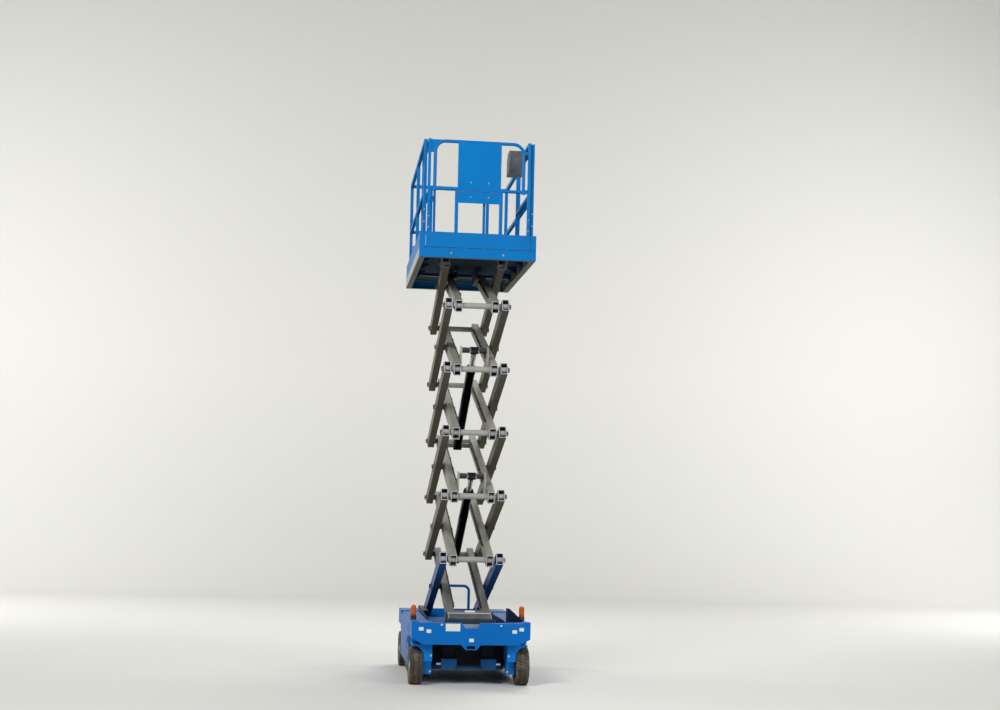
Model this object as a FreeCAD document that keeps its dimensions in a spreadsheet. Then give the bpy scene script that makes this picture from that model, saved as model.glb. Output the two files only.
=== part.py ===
import FreeCAD, Part
import Sketcher
import math
import os
import re

# Scissor lift, stood on its wheels with the platform part raised.
# Millimetres, X across the machine, Y along it, Z up. The steer end faces -Y, the entry end +Y.
# The origin is on the ground under the middle of the outline.

doc = FreeCAD.newDocument("ScissorLift")
sheet = doc.addObject("Spreadsheet::Sheet", "Sizes")

# Driving dimensions: alias, value, what it is. A value that starts with an equals sign is tied to others.
SIZES = (
    ("near_y", -1220, "front face of the chassis"),
    ("chassis_over", 250, "chassis longer than an arm"),
    ("chassis_width", 1180, "across the chassis boxes"),
    ("chassis_low", 415, "underside of the end boxes above ground"),
    ("chassis_high", 630, "top of the chassis above ground"),
    ("end_box_length", 440, "length of each end box over the wheels"),
    ("chamfer_in", 115, "lower corner chamfer, across"),
    ("chamfer_up", 60, "lower corner chamfer, up"),
    ("shell", 8, "plate of the chassis boxes"),
    ("face_plate", 12, "plate of the front and rear faces"),
    ("trough_half", 375, "half width of the trough that the arms fold into"),
    ("trough_floor", 535, "top of the trough floor above ground"),
    ("trough_start", 88, "front face to start of the trough"),
    ("notch_width", 185, "notch in the top edge of the front face"),
    ("notch_foot", 120, "width of that notch at its foot"),
    ("notch_depth", 50, "depth of that notch"),
    ("tab_width", 200, "tie-down tab under the front face"),
    ("tab_foot", 110, "width of the tab at its foot"),
    ("tab_drop", 50, "drop of the tab"),
    ("tab_slot_length", 85, "slot in the tab"),
    ("tab_slot_height", 30, "height of that slot"),
    ("belly_low", 130, "underside of the centre frame above ground"),
    ("pivot_y", -1045, "fixed pivot of the lowest inner arms"),
    ("pivot_z", 620, "height of the lowest pivots"),
    ("arm_length", 2060, "pivot to pivot of a full arm"),
    ("top_half", 540, "upper half of the top arms, centre pin to end pin"),
    ("lift_angle", 17.9, "slope of the arms in degrees"),
    ("arm_height", 120, "height of the arm tube"),
    ("arm_width", 70, "width of the arm tube"),
    ("arm_wall", 6, "wall of the arm tube"),
    ("arm_overhang", 45, "tube beyond its end pivots"),
    ("inner_x", 183, "centre of the inner arms from the middle"),
    ("outer_x", 283.5, "centre of the outer arms from the middle"),
    ("pin_radius", 20, "pivot pins"),
    ("pin_play", 0.6, "radial play of the pivot pins"),
    ("sleeve_radius", 29, "cross tubes and bearing sleeves round the pins"),
    ("boss_gap", 0.5, "side gap between the bosses of two arms"),
    ("washer_side", 62, "retaining plate on the pin end"),
    ("washer_plate", 6, "thickness of that plate"),
    ("pin_head_radius", 24, "round head on the pin end"),
    ("pin_head_length", 18, "length of that head"),
    ("roller_radius", 34, "slide rollers"),
    ("roller_width", 30, "width of a slide roller"),
    ("roller_play", 1, "roller to channel flange"),
    ("channel_plate", 8, "plate of the roller channels"),
    ("base_ear", 14, "thickness of the fixed ears at the lowest pivot"),
    ("cylinder_foot_end", 160, "lift cylinder foot before the far pivot of its lower arm"),
    ("cylinder_head", 200, "lift cylinder head along its upper arm"),
    ("cylinder_raise", 150, "head pin above the centreline of its arm"),
    ("barrel_radius", 47.5, "lift cylinder barrel"),
    ("barrel_short", 500, "barrel shorter than an arm, foot pin to gland"),
    ("barrel_bore", 40, "radius of the barrel bore"),
    ("lift_rod_radius", 27, "lift cylinder rod"),
    ("piston_start", 245, "foot pin to the piston"),
    ("piston_length", 60, "length of the piston"),
    ("foot_bar_radius", 25, "cross bar in the foot of the cylinder"),
    ("head_eye_radius", 36, "eye of the rod"),
    ("head_eye_width", 90, "width of that eye"),
    ("head_gap", 102, "gap between the head brackets"),
    ("head_stub_radius", 28, "stub of the head bracket"),
    ("head_plate", 12, "plate of the head bracket"),
    ("head_side", 7, "head bracket plate to the face of its arm"),
    ("axle_inset", 235, "front face to the steer axle"),
    ("wheelbase_short", 210, "wheelbase shorter than an arm"),
    ("tyre_radius", 190.5, "tyre outside radius"),
    ("tyre_width", 130, "tyre width"),
    ("tyre_proud", 7, "tyres beyond the sides of the chassis"),
    ("tyre_round", 14, "rounding of the tyre shoulders"),
    ("rim_radius", 138, "rim seat of the tyre"),
    ("rim_wall", 10, "rim band"),
    ("rim_disc", 12, "wheel disc"),
    ("hub_radius", 62, "hub"),
    ("spindle_radius", 30, "axle spindle"),
    ("spindle_play", 0.5, "radial play of the hub on its spindle"),
    ("leg_width", 84, "width across of a wheel leg"),
    ("leg_length", 120, "length fore and aft of a wheel leg"),
    ("leg_low", 107, "foot of a wheel leg above ground"),
    ("leg_gap", 8, "tyre to leg"),
    ("yoke_top_plate", 18, "top arm of the yoke over the tyre"),
    ("yoke_gap", 5, "yoke to the box above it"),
    ("kingpin_radius", 35, "kingpin"),
    ("kingpin_play", 0.6, "radial play of the kingpin"),
    ("kingpin_length", 120, "kingpin above the yoke"),
    ("steer_z", 208, "steering cylinder above ground"),
    ("steer_rod_radius", 15, "steering cylinder rods"),
    ("steer_block_width", 154, "steering block, across"),
    ("steer_block_side", 314, "chassis side to the outer face of a steering block"),
    ("steer_block_low", 155, "foot of the steering blocks above ground"),
    ("steer_block_high", 260, "top of the steering blocks above ground"),
    ("steer_block_length", 110, "steering blocks fore and aft"),
    ("steer_rod_short", 268, "chassis side to the end of the steering rods"),
    ("tray_inner_x", 400, "inner face of the side trays"),
    ("tray_low", 162, "foot of the side trays above ground"),
    ("tray_high", 622, "top of the side trays above ground"),
    ("tray_near_gap", 24, "side tray to the front end box"),
    ("tray_far_gap", 28, "side tray to the rear end box"),
    ("tray_plate", 4, "plate of the trays"),
    ("knuckle_radius", 7, "hinge knuckles"),
    ("knuckle_pin", 3.5, "radius of the hinge pins"),
    ("knuckle_play", 0.5, "radial play of the hinge pins"),
    ("knuckle_length", 30, "length of a hinge knuckle"),
    ("knuckle_gap", 0.5, "end gap between two knuckles"),
    ("guard_side", 50, "hinge line of the pothole guards inside the chassis side"),
    ("guard_hinge_z", 120, "hinge line above ground"),
    ("guard_height", 92, "height of a guard bar"),
    ("guard_barrel", 10, "radius of the tube along the top of a guard"),
    ("guard_pin", 6, "radius of the guard hinge pins"),
    ("guard_plate", 12, "thickness of a guard bar"),
    ("guard_short", 515, "end of the chassis to the end of a guard bar"),
    ("beacon_side", 40, "beacons inside the chassis side"),
    ("beacon_inset", 395, "front face to the beacons"),
    ("beacon_radius", 30, "beacon"),
    ("beacon_base", 45, "height of the beacon base"),
    ("beacon_lens", 108, "height of the beacon lens"),
    ("ladder_width", 420, "entry ladder, across"),
    ("ladder_depth", 125, "ladder beyond the rear face"),
    ("ladder_tube", 32, "ladder tube"),
    ("ladder_low", 300, "lowest step above ground"),
    ("ladder_high", 884, "top of the ladder above ground"),
    ("deck_height", 90, "top pivot to the underside of the deck"),
    ("deck_plate", 5, "deck plate"),
    ("platform_inset", 200, "front face of the chassis to that of the platform"),
    ("platform_over", 180, "platform longer than an arm"),
    ("platform_width", 1174, "platform, across"),
    ("frame_drop", 5, "platform frame below the top pivot"),
    ("frame_plate", 6, "plate of the platform frame"),
    ("side_beam", 60, "width of the side beams"),
    ("member_depth", 30, "depth of the cross members under the deck"),
    ("toe_height", 150, "toeboard above the deck"),
    ("toe_plate", 3, "toeboard plate"),
    ("rail_height", 1080, "top rail above the deck"),
    ("rail_tube", 34, "guardrail tube"),
    ("rail_inset", 46, "platform edge to the centre of the main posts"),
    ("mid_rail", 560, "mid rail above the deck"),
    ("extension_length", 940, "extension deck, fore and aft"),
    ("extension_step", 30, "extension floor above the main deck"),
    ("extension_gap", 6, "extension to main deck, underneath"),
    ("extension_plate", 3, "plate of the extension floor"),
    ("extension_rib", 40, "width of the ribs and wear strips of the extension"),
    ("wear_gap", 0.5, "wear strip to the main deck"),
    ("extension_post_side", 85, "extension posts inside the platform edge"),
    ("extension_tube", 28, "extension rail tube"),
    ("loop_side", 56, "legs of the front loop inside the extension posts"),
    ("loop_low", 570, "lower rail of the loop above the deck"),
    ("panel_half", 218, "half width of the front panel"),
    ("panel_top", 1054, "top of the front panel above the deck"),
    ("panel_plate", 4, "front panel plate"),
    ("band_low", 450, "foot of the band under the panel above the deck"),
    ("gate_half", 300, "half width of the gate"),
    ("gate_clear", 8, "gate to its posts"),
    ("ear_width", 90, "raised corner of the front face, across"),
    ("ear_rise", 14, "rise of that corner"),
    ("ear_depth", 150, "length of that corner, fore and aft"),
    ("king_wall", 18, "wall of the kingpin housing"),
    ("king_lid", 12, "lid over the kingpin"),
    ("lug_side", 160, "lashing lugs inside the chassis side"),
    ("lug_plate", 14, "thickness of a lug"),
    ("lug_reach", 55, "reach of a lug beyond the rear face"),
    ("lug_z", 520, "lugs above ground"),
    ("lug_hole", 15, "radius of the hole in a lug"),
    ("cover_rise", 135, "slanted cover above the chassis"),
    ("cover_flat", 22, "flat top of the cover"),
    ("cover_lip", 18, "outer edge of the cover above the chassis"),
    ("cover_inset", 52, "outer edge of the cover from the side"),
    ("cover_length", 128, "cover, fore and aft"),
    ("cover_start", 220, "near face of the cover before the end of the nose"),
    ("travel_slope", 52, "slope in degrees at which a roller is at its near stop"),
    ("channel_spare", 10, "roller channel beyond the roller's travel"),
    ("roller_gap", 6, "arm face to roller"),
    ("roller_side", 2, "side play of a roller in its channel"),
    ("ear_gap", 1, "side gap between the lowest bosses and their ears"),
    ("base_ear_foot", 70, "half length of an ear at its foot"),
    ("base_ear_head", 34, "half length of an ear at its head"),
    ("pin_proud", 12, "lowest pivot pin beyond its ears"),
    ("leg_head", 190, "length of a leg at its head"),
    ("spindle_short", 30, "spindle end inside the tyre's outer face"),
    ("yoke_arch", 100, "quarter round between the leg and the top plate"),
    ("yoke_tail", 50, "yoke plate below that quarter round"),
    ("yoke_cheek", 12, "yoke plates fore and aft"),
    ("yoke_reach", 148, "steer axle to the face of those plates"),
    ("rim_inset", 4, "rim band inside the tyre's faces"),
    ("hub_inset", 14, "hub end inside the tyre's outer face"),
    ("hub_lid", 10, "closed end of the hub"),
    ("disc_seat", 8, "wheel disc from the wheel's middle, at the band"),
    ("disc_dish", 14, "dish of the wheel disc"),
    ("steer_chamfer", 34, "chamfer of the steering blocks"),
    ("steer_hanger", 20, "hangers of the steering blocks"),
    ("steer_bar", 10, "half depth of the bar between the blocks"),
    ("tray_slope", 24, "sloped top edge of a tray"),
    ("louvre_inset", 180, "near end of the louvres"),
    ("louvre_length", 260, "length of a louvre"),
    ("louvre_z", 300, "lowest louvre above ground"),
    ("louvre_pitch", 26, "louvre to louvre"),
    ("louvre_gap", 10, "height of a louvre"),
    ("rib_inset", 60, "ribs on a tray from its edges"),
    ("rib_height", 26, "height of a rib"),
    ("rib_proud", 4, "rib above the plate"),
    ("knuckle_inset", 5, "tray hinge line inside the outer face"),
    ("knuckle_out", 10, "tray to its hinge line"),
    ("tray_knuckle_low", 20, "lower hinge above the end box underside"),
    ("tray_knuckle_high", 80, "upper hinge below the chassis top"),
    ("block_gap", 12, "heavy blocks to the side plates"),
    ("block_inset", 120, "heavy blocks to the tray ends"),
    ("battery_height", 300, "top of the batteries above the tray foot"),
    ("tank_length", 700, "end of the hydraulic unit along the tray"),
    ("tank_height", 340, "top of the hydraulic unit above the tray foot"),
    ("guard_bracket", 12, "plate of the guard brackets"),
    ("guard_pin_depth", 30, "depth of the holes for the guard pins"),
    ("guard_taper", 90, "tapered end of a guard"),
    ("beacon_step", 3, "lens inside its base"),
    ("ladder_bend", 60, "bend of the ladder tube"),
    ("stay_thin", 3, "ladder stay inside the ladder tube"),
    ("stay_inset", 45, "ladder stays from the edges of the rear face"),
    ("step_depth", 60, "depth of a step"),
    ("step_plate", 22, "height of a step"),
    ("step_rise", 300, "step to step"),
    ("member_width", 50, "width of the cross members"),
    ("member_near", 150, "top pivot to the near cross member"),
    ("member_past", 115, "end of the upper roller channels to the far cross member"),
    ("rib_start", 520, "front edge to the first rib of a side beam"),
    ("rib_pitch", 480, "rib to rib"),
    ("rib_reach", 110, "rib beyond its side beam"),
    ("top_ear_gap", 8, "arm face to the top ears"),
    ("top_ear", 14, "thickness of the top ears"),
    ("top_ear_head", 40, "half length of a top ear at its foot"),
    ("top_ear_drop", 36, "foot of a top ear below its pivot"),
    ("socket_height", 190, "bracket at the foot of a middle post"),
    ("socket_plate", 5, "plate of that bracket"),
    ("post_inset", 60, "front edge to the first main post"),
    ("end_inset", 20, "edge to the rails across the platform"),
    ("toe_inset", 3, "toeboard inside the platform edge"),
    ("toe_start", 10, "front edge to the side toeboards"),
    ("toe_lip", 14, "folded lip of a toeboard"),
    ("toe_clear", 1, "front toeboard to the deck"),
    ("gate_foot", 12, "gate above the deck"),
    ("gate_hinge_low", 200, "lower gate hinge above the deck"),
    ("gate_hinge_high", 900, "upper gate hinge above the deck"),
    ("loop_corner", 105, "bend of the front hoop"),
    ("toe_end", 63, "end of the extension's toeboard inside the platform edge"),
    ("toe_side", 5, "that toeboard to the corner plates beside it"),
    ("fold_clear", 5, "fold of that toeboard to the posts behind it"),
    ("tie_drop", 130, "upper ties below the top rail"),
    ("tie_height", 40, "height of a tie"),
    ("tie_half", 10, "half depth of a tie"),
    ("panel_seat", 2, "panel seated into the tube"),
    ("panel_post_lap", 12, "posts under the panel, inside its edges"),
    ("leg_past", 6, "legs of the hoop beyond the lower rail"),
    ("panel_lip", 26, "folded lip of the panel"),
    ("band_gap", 5, "band to the lower rail"),
    ("control_drop", 230, "foot of the control box below the top rail"),
    ("control_top", 4, "top of the control box below the top rail"),
    ("control_inset", 330, "front edge to the control box"),
    ("control_length", 230, "control box, fore and aft"),
    ("control_width", 150, "control box, across"),
    ("control_slope", 80, "sloped face of the control box"),
    ("doubler_length", 90, "half length of the doubler at the middle pin"),
    ("doubler_height", 44, "half height of that doubler"),
    ("doubler_plate", 4, "thickness of that doubler"),
    ("foot_box_near", 110, "cross box on the lowest arms, near face along the arm"),
    ("foot_box_far", 180, "cross box on the lowest arms, far face along the arm"),
    ("foot_box_half", 236, "half width of the cross box"),
    ("foot_box_low", 30, "cross box below the arm's centreline"),
    ("foot_box_high", 66, "cross box above the arm's centreline"),
    ("foot_sheet", 4, "sheet from the cross box down over the arm ends"),
    ("foot_lap", 1, "sheet sunk into the arms and the box"),
    ("bracket_half", 90, "half length of a head bracket at its foot"),
    ("bracket_crown", 40, "half length of a head bracket at its head"),
    ("bracket_edge", 15, "head bracket inside the edges of its arm"),
    ("gland_length", 60, "gland collar of the barrel"),
    ("gland_step", 6, "gland collar proud of the barrel"),
    ("rod_play", 0.8, "radial play of the rod and the piston"),
    ("foot_eye_step", 3, "foot eye proud of the barrel"),
    ("foot_wall", 15, "foot pin to the end of the bore"),
    ("top_pin_reach", 34, "top pivot pins beyond the arm"),
    ("chassis_length", "=arm_length + chassis_over", "front face to rear face"),
    ("wheelbase", "=arm_length - wheelbase_short", "steer axle to rear axle"),
    ("platform_length", "=arm_length + platform_over", "platform, fore and aft"),
    ("cylinder_foot", "=arm_length - cylinder_foot_end", "lift cylinder foot along its lower arm"),
    ("barrel_length", "=arm_length - barrel_short", "foot pin to the gland of the barrel"),
    ("steer_block_outer", "=chassis_width / 2 - steer_block_side", "steering block, outer face"),
    ("steer_block_inner", "=steer_block_outer - steer_block_width", "steering block, inner face"),
    ("steer_rod_end", "=chassis_width / 2 - steer_rod_short", "end of the rods from the middle"),
    ("guard_half_length", "=chassis_length / 2 - guard_short", "half length of a guard bar"),
    ("tyre_outer_x", "=chassis_width / 2 + tyre_proud", "outer face of the tyres from the middle"),
    ("tray_outer_x", "=chassis_width / 2", "outer face of the side trays from the middle"),
    ("guard_x", "=chassis_width / 2 - guard_side", "hinge line of the guards from the middle"),
    ("guard_mid_y", "=near_y + chassis_length / 2", "middle of the guards along the chassis"),
    ("beacon_x", "=chassis_width / 2 - beacon_side", "beacons from the middle"),
    ("lug_x", "=chassis_width / 2 - lug_side", "lashing lugs from the middle, inner face"),
    ("extension_post_x", "=platform_width / 2 - extension_post_side", "extension posts from the middle"),
    ("loop_half", "=extension_post_x - loop_side", "legs of the front loop from the middle"),
    ("toe_half", "=platform_width / 2 - toe_end", "half width of the extension's toeboard"),
)

for row, (alias, value, meaning) in enumerate(SIZES, start=1):
    sheet.set("A%d" % row, alias)
    sheet.set("B%d" % row, str(value))
    sheet.setAlias("B%d" % row, alias)
    sheet.set("C%d" % row, meaning)
doc.recompute()

WORDS = re.compile(r"\b(" + "|".join(alias for alias, _, _ in SIZES) + r")\b")
SIDES = ((-1, "left"), (1, "right"))
LEVELS = 6
NODES = []

# How far a cutting tool runs past the face that it cuts
PAST = "5"


def bind(obj, prop, text):
    """Tie a property to the sheet with an expression written in plain aliases."""
    obj.setExpression(prop, WORDS.sub(r"Sizes.\1", str(text)))


def place(obj, x="0", y="0", z="0"):
    """Tie the three coordinates of a placement to the sheet."""
    bind(obj, "Placement.Base.x", x)
    bind(obj, "Placement.Base.y", y)
    bind(obj, "Placement.Base.z", z)


def box(x, y, z):
    """A block from pairs of limits along X, Y and Z."""
    block = doc.addObject("Part::Box", "Block")
    for prop, (low, high) in zip(("Length", "Width", "Height"), (x, y, z)):
        bind(block, prop, "(%s) - (%s)" % (high, low))
    place(block, x[0], y[0], z[0])
    return block


TURN = {
    "X": FreeCAD.Rotation(FreeCAD.Vector(0, 1, 0), 90),
    "Y": FreeCAD.Rotation(FreeCAD.Vector(1, 0, 0), -90),
    "Z": FreeCAD.Rotation(),
}


def rod(axis, x, y, z, radius, length):
    """A round bar that starts at x, y, z and runs along one axis."""
    bar = doc.addObject("Part::Cylinder", "Bar")
    bar.Placement = FreeCAD.Placement(FreeCAD.Vector(), TURN[axis])
    bind(bar, "Radius", radius)
    bind(bar, "Height", length)
    place(bar, x, y, z)
    return bar


def across(y, z, radius, low, high):
    """A round bar along X between two limits."""
    return rod("X", low, y, z, radius, "(%s) - (%s)" % (high, low))


def fuse(parts, refine=True):
    """One solid, or a group of solids, from several."""
    joined = doc.addObject("Part::MultiFuse", "Joined")
    joined.Shapes = parts
    joined.Refine = refine
    return joined


def cut(base, tools):
    """Take one or more tools away from a base."""
    carved = doc.addObject("Part::Cut", "Carved")
    carved.Base = base
    carved.Tool = tools[0] if len(tools) == 1 else fuse(tools)
    carved.Refine = True
    return carved


def both(part):
    """A part and its mirror image across the middle plane."""
    image = doc.addObject("Part::Mirroring", "Image")
    image.Source = part
    image.Base = FreeCAD.Vector()
    image.Normal = FreeCAD.Vector(1, 0, 0)
    return [part, image]


def mirror(part):
    """Only the mirror image of a part across the middle plane."""
    return both(part)[1]


def node(name, part):
    """Name a finished sub-part."""
    part.Label = name
    NODES.append(part)
    return part


def plane(body, role):
    """One origin plane of a body."""
    return [feature for feature in body.Origin.OriginFeatures if feature.Role == role][0]


RING_LIFT = 5


def outline_sketch(points, role, lift=0):
    """A body with a sketch on one origin plane, its closed outline given as pairs of expressions."""
    body = doc.addObject("PartDesign::Body", "Profile")
    sketch = body.newObject("Sketcher::SketchObject", "Outline")
    sketch.AttachmentSupport = [(plane(body, role), "")]
    sketch.MapMode = "FlatFace"
    count = len(points)
    ring = [
        FreeCAD.Vector(math.cos(2 * math.pi * i / count), lift + math.sin(2 * math.pi * i / count), 0)
        for i in range(count)
    ]
    for i in range(count):
        sketch.addGeometry(Part.LineSegment(ring[i], ring[(i + 1) % count]), False)
    for i in range(count):
        sketch.addConstraint(Sketcher.Constraint("Coincident", i, 2, (i + 1) % count, 1))
    for i, (across_text, up_text) in enumerate(points):
        for kind, text, start in (("DistanceX", across_text, ring[i].x), ("DistanceY", up_text, ring[i].y)):
            number = sketch.addConstraint(Sketcher.Constraint(kind, -1, 1, i, 1, start))
            bind(sketch, "Constraints[%d]" % number, text)
    return body, sketch


def outline(points, role, low, high):
    """A body whose closed outline is padded from low to high."""
    body, sketch = outline_sketch(points, role)
    pad = body.newObject("PartDesign::Pad", "Pad")
    pad.Profile = sketch
    bind(pad, "Length", "(%s) - (%s)" % (high, low))
    sketch.Visibility = False
    if role == "XZ_Plane":
        place(body, y=high)
    elif role == "YZ_Plane":
        place(body, x=low)
    else:
        place(body, z=low)
    return body


def turn_about_x(part, angle, y, z):
    """Lay a part, drawn along +Y from its pivot, at an angle about X with its pivot at y, z."""
    part.Placement = FreeCAD.Placement(FreeCAD.Vector(), FreeCAD.Rotation(FreeCAD.Vector(1, 0, 0), 10))
    bind(part, "Placement.Rotation.Angle", angle)
    place(part, "0", y, z)
    return part


# Scissor arms
# Each level is an inner pair that rises away from the steer end and an outer pair that falls
# away from it. Each pair is drawn flat along +Y from its pivot nearest the steer end.

HALF = "arm_length / 2"
RISE = "arm_length * sin(lift_angle)"
BOSS_X = "inner_x / 2 + outer_x / 2 - boss_gap / 2"
OUTER_BOSS_X = "inner_x / 2 + outer_x / 2 + boss_gap / 2"
INNER_FACE = "inner_x - arm_width / 2"


def hollow_tubes(centre_x, near, far):
    """The left and right rectangular tubes of one arm pair, open at both ends."""
    x = ("%s - arm_width / 2" % centre_x, "%s + arm_width / 2" % centre_x)
    z = ("-arm_height / 2", "arm_height / 2")
    skin = box(x, ("-arm_overhang", "%s + %s + arm_overhang" % (near, far)), z)
    core = box(
        (x[0] + " + arm_wall", x[1] + " - arm_wall"),
        ("-arm_overhang - arm_wall", "%s + %s + arm_overhang + arm_wall" % (near, far)),
        (z[0] + " + arm_wall", z[1] + " - arm_wall"),
    )
    return both(cut(skin, [core]))


def head_bracket():
    """Stubs and plates over the inner arms that hold the head of a lift cylinder."""
    outer_side = INNER_FACE + " - head_side"
    near = "cylinder_head - bracket_half"
    far = "cylinder_head + bracket_half"
    foot = "-arm_height / 2 + bracket_edge"
    shoulder = "arm_height / 2 - bracket_edge"
    crown = "cylinder_raise + head_eye_radius"
    stub = across("cylinder_head", "cylinder_raise", "head_stub_radius", "head_gap / 2", outer_side)
    sides = (outer_side + " - head_plate", outer_side)
    pad = box((outer_side, INNER_FACE), (near, far), (foot, shoulder))
    plate = outline(
        (
            (near, foot),
            (far, foot),
            (far, shoulder),
            ("cylinder_head + bracket_crown", crown),
            ("cylinder_head - bracket_crown", crown),
            (near, shoulder),
        ),
        "YZ_Plane",
        *sides,
    )
    return both(stub) + both(plate) + both(pad)


def foot_bar():
    """Cross bar between the inner arms that the foot of a lift cylinder turns on."""
    return [across("cylinder_foot", "0", "foot_bar_radius", "-(%s) - arm_wall" % INNER_FACE,
                   INNER_FACE + " + arm_wall")]


def foot_box():
    """Cross box over the lowest inner arms near their fixed pivot, and the sheet from it over their ends."""
    arms_side = "inner_x + arm_width / 2"
    return [
        box(("-foot_box_half", "foot_box_half"), ("foot_box_near", "foot_box_far"),
            ("-foot_box_low", "foot_box_high")),
        box(("-(%s)" % arms_side, arms_side), ("-arm_overhang", "foot_box_near + foot_lap"),
            ("arm_height / 2 - foot_lap", "arm_height / 2 + foot_sheet")),
    ]


def inner_arms(level):
    """Inner pair of one level: two tubes, two cross tubes and the sleeves of the centre pins."""
    near = HALF
    far = "top_half" if level == LEVELS else HALF
    parts = hollow_tubes("inner_x", near, far)
    parts.append(across("0", "0", "sleeve_radius", "-(%s)" % BOSS_X, BOSS_X))
    parts += both(across(near, "0", "sleeve_radius", INNER_FACE, BOSS_X))
    through = ("-(%s) - %s" % (BOSS_X, PAST), BOSS_X + " + " + PAST)
    bores = [across("0", "0", "pin_radius + pin_play", *through)]
    bores += both(across(near, "0", "pin_radius + pin_play", INNER_FACE + " - " + PAST, through[1]))
    end = "%s + %s" % (near, far)
    if level == LEVELS:
        shaft_end = INNER_FACE + " - roller_width - roller_gap"
        parts += both(across(end, "0", "sleeve_radius", INNER_FACE, "inner_x + arm_width / 2"))
        parts += both(across(end, "0", "pin_radius", shaft_end, INNER_FACE))
        parts += both(across(end, "0", "roller_radius", shaft_end, INNER_FACE + " - roller_gap"))
    else:
        parts.append(across(end, "0", "sleeve_radius", "-(%s)" % BOSS_X, BOSS_X))
        bores.append(across(end, "0", "pin_radius + pin_play", *through))
    if level == 1:
        parts += foot_box()
    if level in (1, 3):
        parts += foot_bar()
    if level in (3, 5):
        parts += head_bracket()
    pair = cut(fuse(parts), bores)
    turn_about_x(pair, "lift_angle", "pivot_y", "pivot_z + %d * %s" % (level - 1, RISE))
    return node("inner_arms_%d" % level, pair)


def pin_end(y, x):
    """Square retaining plate and round head on the outer end of a pin."""
    half = "washer_side / 2"
    plate = box((x, x + " + washer_plate"), (y + " - " + half, y + " + " + half), ("-" + half, half))
    head = across(y, "0", "pin_head_radius", x, x + " + washer_plate + pin_head_length")
    return both(plate) + both(head)


def doublers(y, x):
    """Plates with tapered ends that stiffen the outer arms round their middle pin."""
    plate = outline(
        (
            (y + " - doubler_length", "-doubler_height / 2"),
            (y + " - doubler_length / 2", "-doubler_height"),
            (y + " + doubler_length / 2", "-doubler_height"),
            (y + " + doubler_length", "-doubler_height / 2"),
            (y + " + doubler_length", "doubler_height / 2"),
            (y + " + doubler_length / 2", "doubler_height"),
            (y + " - doubler_length / 2", "doubler_height"),
            (y + " - doubler_length", "doubler_height / 2"),
        ),
        "YZ_Plane",
        x,
        x + " + doubler_plate",
    )
    return both(plate)


def outer_arms(level):
    """Outer pair of one level with the shafts and pins that it carries."""
    near = "top_half" if level == LEVELS else HALF
    far = HALF
    end = "%s + %s" % (near, far)
    face = "outer_x + arm_width / 2"
    parts = hollow_tubes("outer_x", near, far)
    for y in ("0", near, end):
        parts += both(across(y, "0", "sleeve_radius", OUTER_BOSS_X, face))
    parts += doublers(near, face)
    if level == LEVELS:
        parts += both(across("0", "0", "pin_radius", "outer_x", face + " + top_pin_reach"))
    else:
        parts.append(across("0", "0", "pin_radius", "-(%s)" % face, face))
        parts += pin_end("0", face)
    parts += both(across(near, "0", "pin_radius", INNER_FACE + " - boss_gap * 8", face))
    parts += pin_end(near, face)
    if level == 1:
        parts += both(across(end, "0", "pin_radius", "outer_x", face + " + roller_gap"))
        parts += both(across(end, "0", "roller_radius", face + " + roller_gap",
                             face + " + roller_gap + roller_width"))
    else:
        parts.append(across(end, "0", "pin_radius", "-(%s)" % face, face))
        parts += pin_end(end, face)
    pair = fuse(parts)
    shift = "(arm_length / 2 - top_half) * cos(lift_angle)" if level == LEVELS else "0"
    up = "%d * %s" % (level, RISE)
    if level == LEVELS:
        up = "%d * %s + (arm_length / 2 + top_half) * sin(lift_angle)" % (level - 1, RISE)
    turn_about_x(pair, "-lift_angle", "pivot_y + " + shift, "pivot_z + " + up)
    return node("outer_arms_%d" % level, pair)


for level in range(1, LEVELS + 1):
    inner_arms(level)
    outer_arms(level)

# Lift cylinders
# The foot turns on the cross bar of one inner pair, the head reaches the bracket of the inner
# pair two levels up. Both are drawn along +Y from the foot and laid at the cylinder's slope.

REACH_Y = "((cylinder_head - cylinder_foot) * cos(lift_angle) - cylinder_raise * sin(lift_angle))"
REACH_Z = "((2 * arm_length + cylinder_head - cylinder_foot) * sin(lift_angle)"
REACH_Z += " + cylinder_raise * cos(lift_angle))"
REACH = "sqrt(%s^2 + %s^2)" % (REACH_Y, REACH_Z)


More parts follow.
